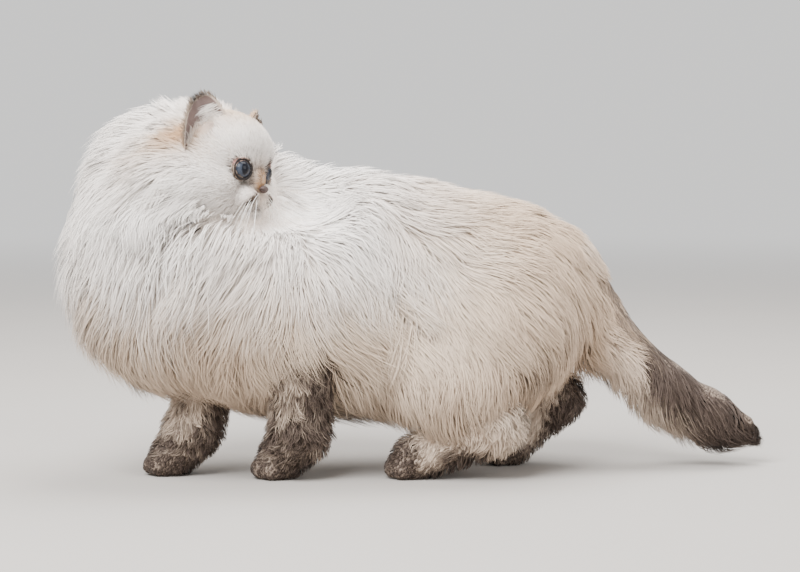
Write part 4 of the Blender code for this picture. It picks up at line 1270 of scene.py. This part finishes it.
def makeEye(name, side, node):
    mesh = ballMesh(name, 64, 48)
    points = meshPoints(mesh)
    rest = points * eye["radius"]
    cornea = points * eye["corneaRadius"] + np.array((0.0, 0.0, eye["corneaForward"]))
    bulge = ramp(points[:, 2], 0.52, 0.80)[:, None]
    shape = rest * (1 - bulge) + cornea * bulge
    h = shape @ np.array(Matrix(eyeBasis(side)).transposed()).T + eyePlace(side)
    mesh.vertices.foreach_set("co", fromHead(h).ravel())
    spot = np.where(points[:, 2:3] > 0, points[:, :2] * 0.5, unit(points[:, :2]) * 0.5) + 0.5
    paintMap(mesh, "iris", spot)
    made = place(smooth(linked(name, mesh)))
    made.data.materials.append(eyeMaterial)
    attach(made, "root")
    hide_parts(node)
    return made


def ringTube(name, line, radii, sides):  # a tube round a closed line
    ways = unit(np.roll(line, -1, 0) - np.roll(line, 1, 0))
    side = unit(np.cross(ways, np.array((0.13, 0.22, 0.96))))
    up = np.cross(side, ways)
    angles = np.arange(sides) / sides * 2 * math.pi
    rounds = np.cos(angles)[None, :, None] * side[:, None] + np.sin(angles)[None, :, None] * up[:, None]
    points = line[:, None] + radii[:, None, None] * rounds
    quads = []
    for ring in range(len(line)):
        ahead = (ring + 1) % len(line)
        for corner in range(sides):
            after = (corner + 1) % sides
            near, far = ring * sides, ahead * sides
            quads.append((near + corner, near + after, far + after, far + corner))
    return arrayMesh(name, points.reshape(-1, 3), [np.array(quads)])


def rimFinish():
    finish = Finish("eyeRimSkin", {"Roughness": 0.55, "Specular IOR Level": 0.25})
    grain = finish.noise(finish.coordinates(), 1400.0, 2.0)
    finish.bump(grain, 0.3, 0.0003)
    cover = finish.band(grain, 0.4, 0.7)
    return finish.done(finish.mix((0.006, 0.0045, 0.0045), (0.020, 0.013, 0.012), cover))


def makeRim(name, side):
    angles = np.linspace(0.0, 2 * math.pi, 72, endpoint=False)
    right, top, axis = eyeBasis(side)
    middle = Vector(eyePlace(side)) + axis * eye["rimForward"]
    line = np.array([middle + eye["rimRing"] * (right * math.cos(a) + top * math.sin(a)) for a in angles])
    inner = np.cos(angles) * right.x * -side  # thicker towards the nose
    thick = eye["rimThick"] * (1.0 + 0.55 * inner + 0.25 * np.abs(np.sin(angles)))
    made = place(linked(name, ringTube(name, fromHead(line), thick, 8)))
    facesOutward(made.data)
    made.data.materials.append(rimMaterial)
    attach(made, "root")
    return made


eyeMaterial = eyeFinish()
rimMaterial = rimFinish()
for side, sideName in ((1, "Right"), (-1, "Left")):
    makeEye("eye" + sideName, side, "eye_" + sideName.lower())
    makeRim("eyeRim" + sideName, side)
print("eyes")


# Nose leather

def noseFinish():
    finish = Finish("noseLeather", {"Roughness": 0.42, "Specular IOR Level": 0.5})
    spot = finish.coordinates()
    pebbles = finish.node("TexVoronoi", {"feature": "DISTANCE_TO_EDGE"}, {"Vector": spot, "Scale": 1900.0})
    finish.bump(finish.band(pebbles, 0.0, 0.25), 0.5, 0.0002)
    hollow = finish.parts("marks")[0]
    colour = finish.mix((0.060, 0.029, 0.023), (0.030, 0.016, 0.013), finish.noise(spot, 260.0))
    roughness = 0.35 + finish.band(pebbles, 0.0, 0.3) * 0.15
    # the nostrils darken as painted shade in their hollows
    return finish.done(finish.mix(colour, (0.015, 0.010, 0.010), hollow), roughness)


def makeNose():
    mesh = ballMesh("noseLeather", 72, 56)
    points = meshPoints(mesh) * np.array(nose["radii"])
    points[:, 0] *= 1.0 - nose["taper"] * np.clip(-points[:, 2], 0.0, nose["taperDepth"])
    h = points + np.array(nose["place"])
    hollow = np.zeros(len(h))
    for side in (1, -1):
        slot = lineDistance(h, [mirrored(p, side) for p in nose["nostrilLine"]])
        hollow = np.maximum(hollow, np.exp(-((slot / nose["nostril"]) ** 4)))
    h[:, 1] -= nose["nostrilDepth"] * hollow
    crease = np.exp(-((h[:, 0] / nose["crease"]) ** 2)) * ramp(h[:, 2], -0.0180, -0.0205)
    h[:, 1] -= nose["creaseDepth"] * crease
    mesh.vertices.foreach_set("co", fromHead(h).ravel())
    paintPoints(mesh, "marks", np.stack([hollow, crease, hollow, hollow], axis=1))
    made = place(smooth(linked("noseLeather", mesh)))
    mesh.materials.append(noseFinish())
    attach(made, "root")
    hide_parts("nose")


makeNose()


# Ears

def earSurface(name, side, u, v):  # u across from -1 to 1, v up from 0 to 1
    inner, outer, tip = (mirrored(p, side) for p in ears[name])
    facing = unit(mirrored(earForm["facing"], side))
    base = (inner + outer) / 2
    u, v = u[:, None], v[:, None]
    middle = base + (tip - base) * (v * 1.16 - 0.16)
    spread = (outer - inner) * 0.5 * (1.0 - 0.25 * v) * np.sqrt(np.maximum(1.0 - v**2.8, 0.0))
    cup = earForm["cup"] * (1.0 - u * u) * (1.0 - 0.72 * v)
    return middle + spread * u - facing * cup


def earFinish():
    finish = Finish("earSkin", {"Roughness": 0.6, "Specular IOR Level": 0.3})
    inside, edge, height, _ = finish.parts("marks")
    spot = finish.coordinates()
    grain = finish.noise(spot, 900.0, 3.0)
    finish.bump(grain, 0.35, 0.0004)
    outer = finish.mix((0.60, 0.47, 0.36), (0.16, 0.12, 0.10), finish.band(height, 0.75, 1.0))
    inner = finish.mix((0.245, 0.175, 0.155), (0.115, 0.078, 0.074), finish.noise(spot, 140.0, 3.0))
    # painted shade deep in the ear's cup, darkest at its base
    inner = finish.mix((0.085, 0.058, 0.055), inner, finish.band(height, 0.0, 0.45))
    inner = finish.mix(inner, (0.66, 0.54, 0.46), edge)
    return finish.done(finish.mix(outer, inner, inside))


def makeEar(name, side, node):
    grid = earForm["grid"]
    u, v = np.meshgrid(np.linspace(-1, 1, grid), np.linspace(0, 0.985, grid))
    u, v = u.ravel(), v.ravel()
    front = earSurface(name, side, u, v)
    facing = unit(mirrored(earForm["facing"], side))
    fade = np.clip(1.0 - np.maximum(np.abs(u), v) ** 6, 0.02, 1.0)  # thin at the edge
    thick = earForm["wall"] * (1.0 - 0.35 * v) * np.sqrt(fade)
    back = front - facing * thick[:, None]
    points = np.concatenate([front + facing * thick[:, None] * 0.2, back])
    quads = []
    size = grid * grid
    for row in range(grid - 1):
        for column in range(grid - 1):
            a = row * grid + column
            b = a + grid
            quads.append((a, a + 1, b + 1, b))
            quads.append((size + b, size + b + 1, size + a + 1, size + a))
    last = grid - 1
    border = list(range(last)) + [row * grid + last for row in range(last)]
    border += [last * grid + column for column in range(last, 0, -1)]
    border += [row * grid for row in range(last, 0, -1)]
    for a, b in zip(border, border[1:] + border[:1], strict=True):
        quads.append((b, a, size + a, size + b))
    mesh = arrayMesh(name, fromHead(points), [np.array(quads)])
    facesOutward(mesh)
    edge = np.maximum(ramp(np.abs(u), 0.94, 0.985), ramp(v, 0.955, 0.985))
    inside = np.concatenate([np.ones(size), np.zeros(size)])
    edge = np.concatenate([edge, edge])
    height = np.concatenate([v, v])
    paintPoints(mesh, "marks", np.stack([inside, edge, height, height], axis=1))
    made = place(smooth(linked(name, mesh)))
    mesh.materials.append(earMaterial)
    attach(made, "root")
    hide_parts(node)
    return made


earFur = (  # kind, tufts, side of the ear (None for either), spread across and up it, lengths, width
    ("back", 1500, 1.0, (-1.0, 1.0), (0.02, 0.95), (0.004, 0.008), 0.0006),
    ("rim", 420, None, (0.93, 1.0), (0.0, 0.97), (0.0010, 0.0030), 0.00035),
    ("top", 210, 1.0, (-0.9, 0.9), (0.93, 0.98), (0.0012, 0.0036), 0.0004),
    ("inner", 200, -1.0, (0.62, 1.0), (0.0, 0.66), (0.005, 0.016), 0.0005),
    ("floor", 200, 1.0, (-0.9, 0.9), (0.0, 0.22), (0.008, 0.017), 0.0005),
)


def earMarks(count, dark, warm, white):  # one value for all, or one for each tuft
    return np.stack([np.zeros(count) + part for part in (dark, warm, white, 0.0)], axis=1)


def makeEarCoat(name, side):
    rng = np.random.default_rng(201 + side)
    facing = unit(mirrored(earForm["facing"], side))
    inner, outer, tip = (mirrored(p, side) for p in ears[name])
    upward = unit(tip - (inner + outer) / 2)
    out = []
    for kind, count, half, across, up, lengths, width in earFur:
        half = np.sign(rng.uniform(-1, 1, count)) if half is None else half
        u, v = half * rng.uniform(*across, count), rng.uniform(*up, count)
        roots = earSurface(name, side, u, v)
        uAhead = earSurface(name, side, u + 0.02, v) - roots
        vAhead = earSurface(name, side, u, np.minimum(v + 0.02, 0.99)) - roots
        normal = unit(np.cross(uAhead, vAhead))
        normal = normal * np.sign((normal @ facing))[:, None]
        length = rng.uniform(*lengths, count)
        if kind == "back":
            normal = -normal
            way = upward * 0.8 - facing * 0.25 + mirrored((0.25, 0, 0), side)
            marks = earMarks(count, 0.08 + 0.60 * ramp(v, 0.75, 0.98), 0.85 - 0.35 * v, 0.1)
            roots = roots + normal * earForm["wall"] * 0.6
            bend = normal * 0.25
        elif kind in ("rim", "top"):
            upShare, acrossShare = (1.2, 0.3) if kind == "top" else (0.8, 1.0)
            outward = unit(vAhead * upShare + uAhead * np.sign(u)[:, None] * acrossShare)
            way = outward + normal * rng.normal(0, 0.3, count)[:, None]
            marks = earMarks(count, 0.05 + 0.60 * ramp(v, 0.70, 0.98), 0.30, 0.45)
            bend = np.broadcast_to(upward * 0.3, normal.shape)
        elif kind == "inner":
            way = unit(uAhead) * 1.1 + normal * 0.75 + upward * 0.35
            marks = earMarks(count, 0.02, 0.08 + 0.15 * rng.random(count), 0.9)
            bend = unit(uAhead) * 0.5 - upward * 0.25
        else:
            way = upward * 0.9 + normal * 0.6 + unit(uAhead) * 0.3
            marks = earMarks(count, 0.05, 0.15 + 0.15 * rng.random(count), 0.8)
            bend = unit(uAhead) * 0.5 + normal * 0.1
        way = unit(way + rng.normal(0, 0.16, (count, 3)))
        steps = np.linspace(0, 1, 4)[None, :, None]
        curl = (bend[:, None] + rng.normal(0, 0.12, (count, 1, 3))) * steps**2 * 0.5
        lines = roots[:, None] + (way[:, None] * steps + curl) * length[:, None, None]
        facings = np.repeat((normal @ headMatrix[:3, :3].T)[:, None], 4, axis=1)
        widths = np.full(count, width) * rng.uniform(0.7, 1.3, count)
        lines = fromHead(lines.reshape(-1, 3)).reshape(lines.shape)
        out.append((lines, facings, widths, marks, fromHead(roots)))
    lines, normals, widths, marks, roots = (np.concatenate(group) for group in zip(*out, strict=True))
    chances = rng.random((len(roots), 2))
    unwrap = unwrapOf(roots, normals[:, 0])
    mesh = tuftMesh(name + "Coat", lines, normals, normals, widths, widths * 0.4, marks, chances, unwrap)
    made = place(linked(name + "Coat", mesh))
    mesh.materials.append(furMaterial)
    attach(made, "root")


earMaterial = earFinish()
for side, name, node in ((1, "earRight", "ear_right"), (-1, "earLeft", "ear_left")):
    makeEar(name, side, node)
    makeEarCoat(name, side)
print("ears")


# Whiskers, by Geometry Nodes along curves

whisker = {
    "thickness": 0.00026, "sides": 5, "steps": 14, "wander": 0.0016, "seed": 5,
    "lengths": (0.034, 0.054), "droop": (0.0, 0.0, -0.42), "browLength": 0.024,
    "browDroop": (0.0, -0.2, -0.25),
}


def whiskerLine(root, way, length, droop, power):
    steps = np.linspace(0, 1, whisker["steps"])[:, None]
    return root + way * length * steps + np.array(droop) * length * steps**power


def whiskerLines():
    rng = np.random.default_rng(77)
    lines = []
    for side in (1, -1):
        for row in range(3):
            for column in range(3):
                root = (0.0085 + 0.0030 * column, 0.0445 - 0.0020 * column, -0.0245 - 0.0030 * row)
                way = mirrored((0.62, 0.30 - 0.25 * column, -0.62 - 0.15 * row), side)
                way = unit(way + rng.normal(0, 0.12, 3))
                length = rng.uniform(*whisker["lengths"])
                lines.append(whiskerLine(mirrored(root, side), way, length, whisker["droop"], 1.8))
        for column in range(3):
            root = mirrored((0.0150 + 0.003 * column, 0.0345, 0.0130), side)
            way = unit(mirrored((0.35, 0.45, 0.75), side) + rng.normal(0, 0.08, 3))
            lines.append(whiskerLine(root, way, whisker["browLength"], whisker["browDroop"], 2))
    return lines


def whiskerTree(material):
    tree = bpy.data.node_groups.new("whiskerThreads", "GeometryNodeTree")
    inputs = {"Curves": "Geometry", "Thickness": "Float", "Sides": "Int", "Wander": "Float", "Seed": "Int"}
    for name, kind in inputs.items():
        tree.interface.new_socket(name, in_out="INPUT", socket_type="NodeSocket" + kind)
    tree.interface.new_socket("Threads", in_out="OUTPUT", socket_type="NodeSocketGeometry")

    def add(kind, settings=None, values=None):
        made = tree.nodes.new(kind)
        for key, value in (settings or {}).items():
            setattr(made, key, value)
        for key, value in (values or {}).items():
            made.inputs[key].default_value = value
        return made

    start = add("NodeGroupInput")
    end = add("NodeGroupOutput")
    toCurve = add("GeometryNodeMeshToCurve")
    along = add("GeometryNodeSplineParameter")
    taper = add("ShaderNodeMapRange", {}, {3: 1.0, 4: 0.12})
    size = add("ShaderNodeMath", {"operation": "MULTIPLY"})
    setSize = add("GeometryNodeSetCurveRadius")
    noise = add("ShaderNodeTexNoise", {"noise_dimensions": "4D"}, {"Scale": 40.0})
    centred = add("ShaderNodeVectorMath", {"operation": "SUBTRACT"}, {1: (0.5, 0.5, 0.5)})
    amount = add("ShaderNodeMath", {"operation": "MULTIPLY"})
    scaled = add("ShaderNodeVectorMath", {"operation": "SCALE"})
    move = add("GeometryNodeSetPosition")
    ring = add("GeometryNodeCurvePrimitiveCircle", {}, {"Radius": 1.0})
    toMesh = add("GeometryNodeCurveToMesh", {}, {"Fill Caps": True})
    real = add("GeometryNodeRealizeInstances")
    paint = add("GeometryNodeSetMaterial", {}, {"Material": material})
    for source, output, target, socket in (
        (start, "Curves", toCurve, "Mesh"), (along, "Factor", taper, 0), (taper, 0, size, 0),
        (start, "Thickness", size, 1), (toCurve, 0, move, "Geometry"), (start, "Seed", noise, "W"),
        (noise, "Color", centred, 0), (along, "Factor", amount, 0), (start, "Wander", amount, 1),
        (centred, 0, scaled, 0), (amount, 0, scaled, "Scale"), (scaled, 0, move, "Offset"),
        (move, 0, setSize, "Curve"), (size, 0, setSize, "Radius"), (start, "Sides", ring, "Resolution"),
        (setSize, 0, toMesh, "Curve"), (ring, 0, toMesh, "Profile Curve"), (size, 0, toMesh, "Scale"),
        (toMesh, 0, real, 0), (real, 0, paint, "Geometry"), (paint, 0, end, 0),
    ):
        tree.links.new(source.outputs[output], target.inputs[socket])
    return tree


def makeWhiskers():
    lines = whiskerLines()
    mesh = bpy.data.meshes.new("whiskers")
    steps = whisker["steps"]
    points = fromHead(np.concatenate(lines))
    starts = [line * steps + step for line in range(len(lines)) for step in range(steps - 1)]
    edges = [(start, start + 1) for start in starts]
    mesh.from_pydata(points.tolist(), edges, [])
    made = linked("whiskers", mesh)
    white = Finish("whiskerWhite", {"Roughness": 0.35, "Specular IOR Level": 0.5})
    pale = white.mix((0.88, 0.86, 0.82), (0.78, 0.74, 0.69), white.noise(white.coordinates(), 60.0))
    material = white.done(pale)
    threads = made.modifiers.new("threads", "NODES")
    threads.node_group = whiskerTree(material)
    sockets = threads.node_group.interface.items_tree
    names = {item.name: item.identifier for item in sockets if item.in_out == "INPUT"}
    for name in ("Thickness", "Sides", "Wander", "Seed"):
        threads[names[name]] = whisker[name.lower()]
    applied(made)
    place(smooth(made))
    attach(made, "root")
    print("whiskers", len(made.data.polygons), "faces")


makeWhiskers()


# Floor, light and camera

studio = {
    "floor": (0.42, 0.395, 0.37), "floorShade": (0.395, 0.37, 0.345), "reach": 40.0,
    "world": (0.885, 0.88, 0.872), "worldStrength": 1.16, "target": (0.0, 0.0, 0.14),
    "lights": (  # place, size, power
        ("keyLight", (-0.9, -1.5, 2.1), 1.6, 180.0), ("topLight", (0.4, 0.6, 2.4), 1.8, 100.0),
        ("fillLight", (1.8, -1.2, 1.0), 1.4, 20.0),
    ),
}


def makeStudio():
    corners = studio["reach"] * np.array([(-1, -1, 0), (1, -1, 0), (1, 1, 0), (-1, 1, 0)], float)
    mesh = arrayMesh("studioFloor", corners, [np.array([(0, 1, 2, 3)])])
    floor = linked("studioFloor", mesh)
    finish = Finish("paleFloor", {"Roughness": 0.7, "Specular IOR Level": 0.0, "Emission Strength": 1.0})
    spot = finish.coordinates()
    away = finish.node("VectorMath", {"operation": "LENGTH"}, {0: spot}, 1)
    near = finish.mix(studio["floor"], studio["floorShade"], finish.noise(spot, 3.0, 3.0))
    far = finish.band(away, 0.7, 5.0)  # far off the floor glows like the backdrop, so that no horizon shows
    glow = tuple(studio["worldStrength"] * part for part in studio["world"])
    finish.feed(finish.shader.inputs["Emission Color"], finish.mix((0.0, 0.0, 0.0), glow, far))
    mesh.materials.append(finish.done(finish.mix(near, (0.0, 0.0, 0.0), far)))
    world = bpy.data.worlds.new("studioLight")
    bpy.context.scene.world = world
    world.use_nodes = True
    background = world.node_tree.nodes["Background"]
    background.inputs[0].default_value = (*studio["world"], 1.0)
    background.inputs[1].default_value = studio["worldStrength"]
    for name, spot, size, power in studio["lights"]:
        light = bpy.data.lights.new(name, "AREA")
        light.energy = power
        light.size = size
        lamp = bpy.data.objects.new(name, light)
        lamp.location = Vector(spot) + shift
        lamp.rotation_euler = (Vector(studio["target"]) - Vector(spot)).to_track_quat("-Z", "Y").to_euler()
        bpy.context.scene.collection.objects.link(lamp)


camera = {  # the photo's lens, width, horizon and middle line are in its own pixels
    "place": (0.0, -1.9, 0.30), "pixels": 2111.0, "width": 800.0, "horizon": 139.0, "middle": 286.0,
    "sensor": 36.0,
}


def makeCamera():
    lens = bpy.data.cameras.new("photoCamera")
    lens.sensor_width = camera["sensor"]
    lens.lens = camera["pixels"] * camera["sensor"] / camera["width"]
    holder = bpy.data.objects.new("photoCamera", lens)
    bpy.context.scene.collection.objects.link(holder)
    holder.location = Vector(camera["place"]) + shift
    tilt = math.atan2(camera["middle"] - camera["horizon"], camera["pixels"])
    holder.rotation_euler = (math.pi / 2 - tilt, 0.0, 0.0)
    bpy.context.scene.camera = holder


makeStudio()
makeCamera()
print("studio and camera")
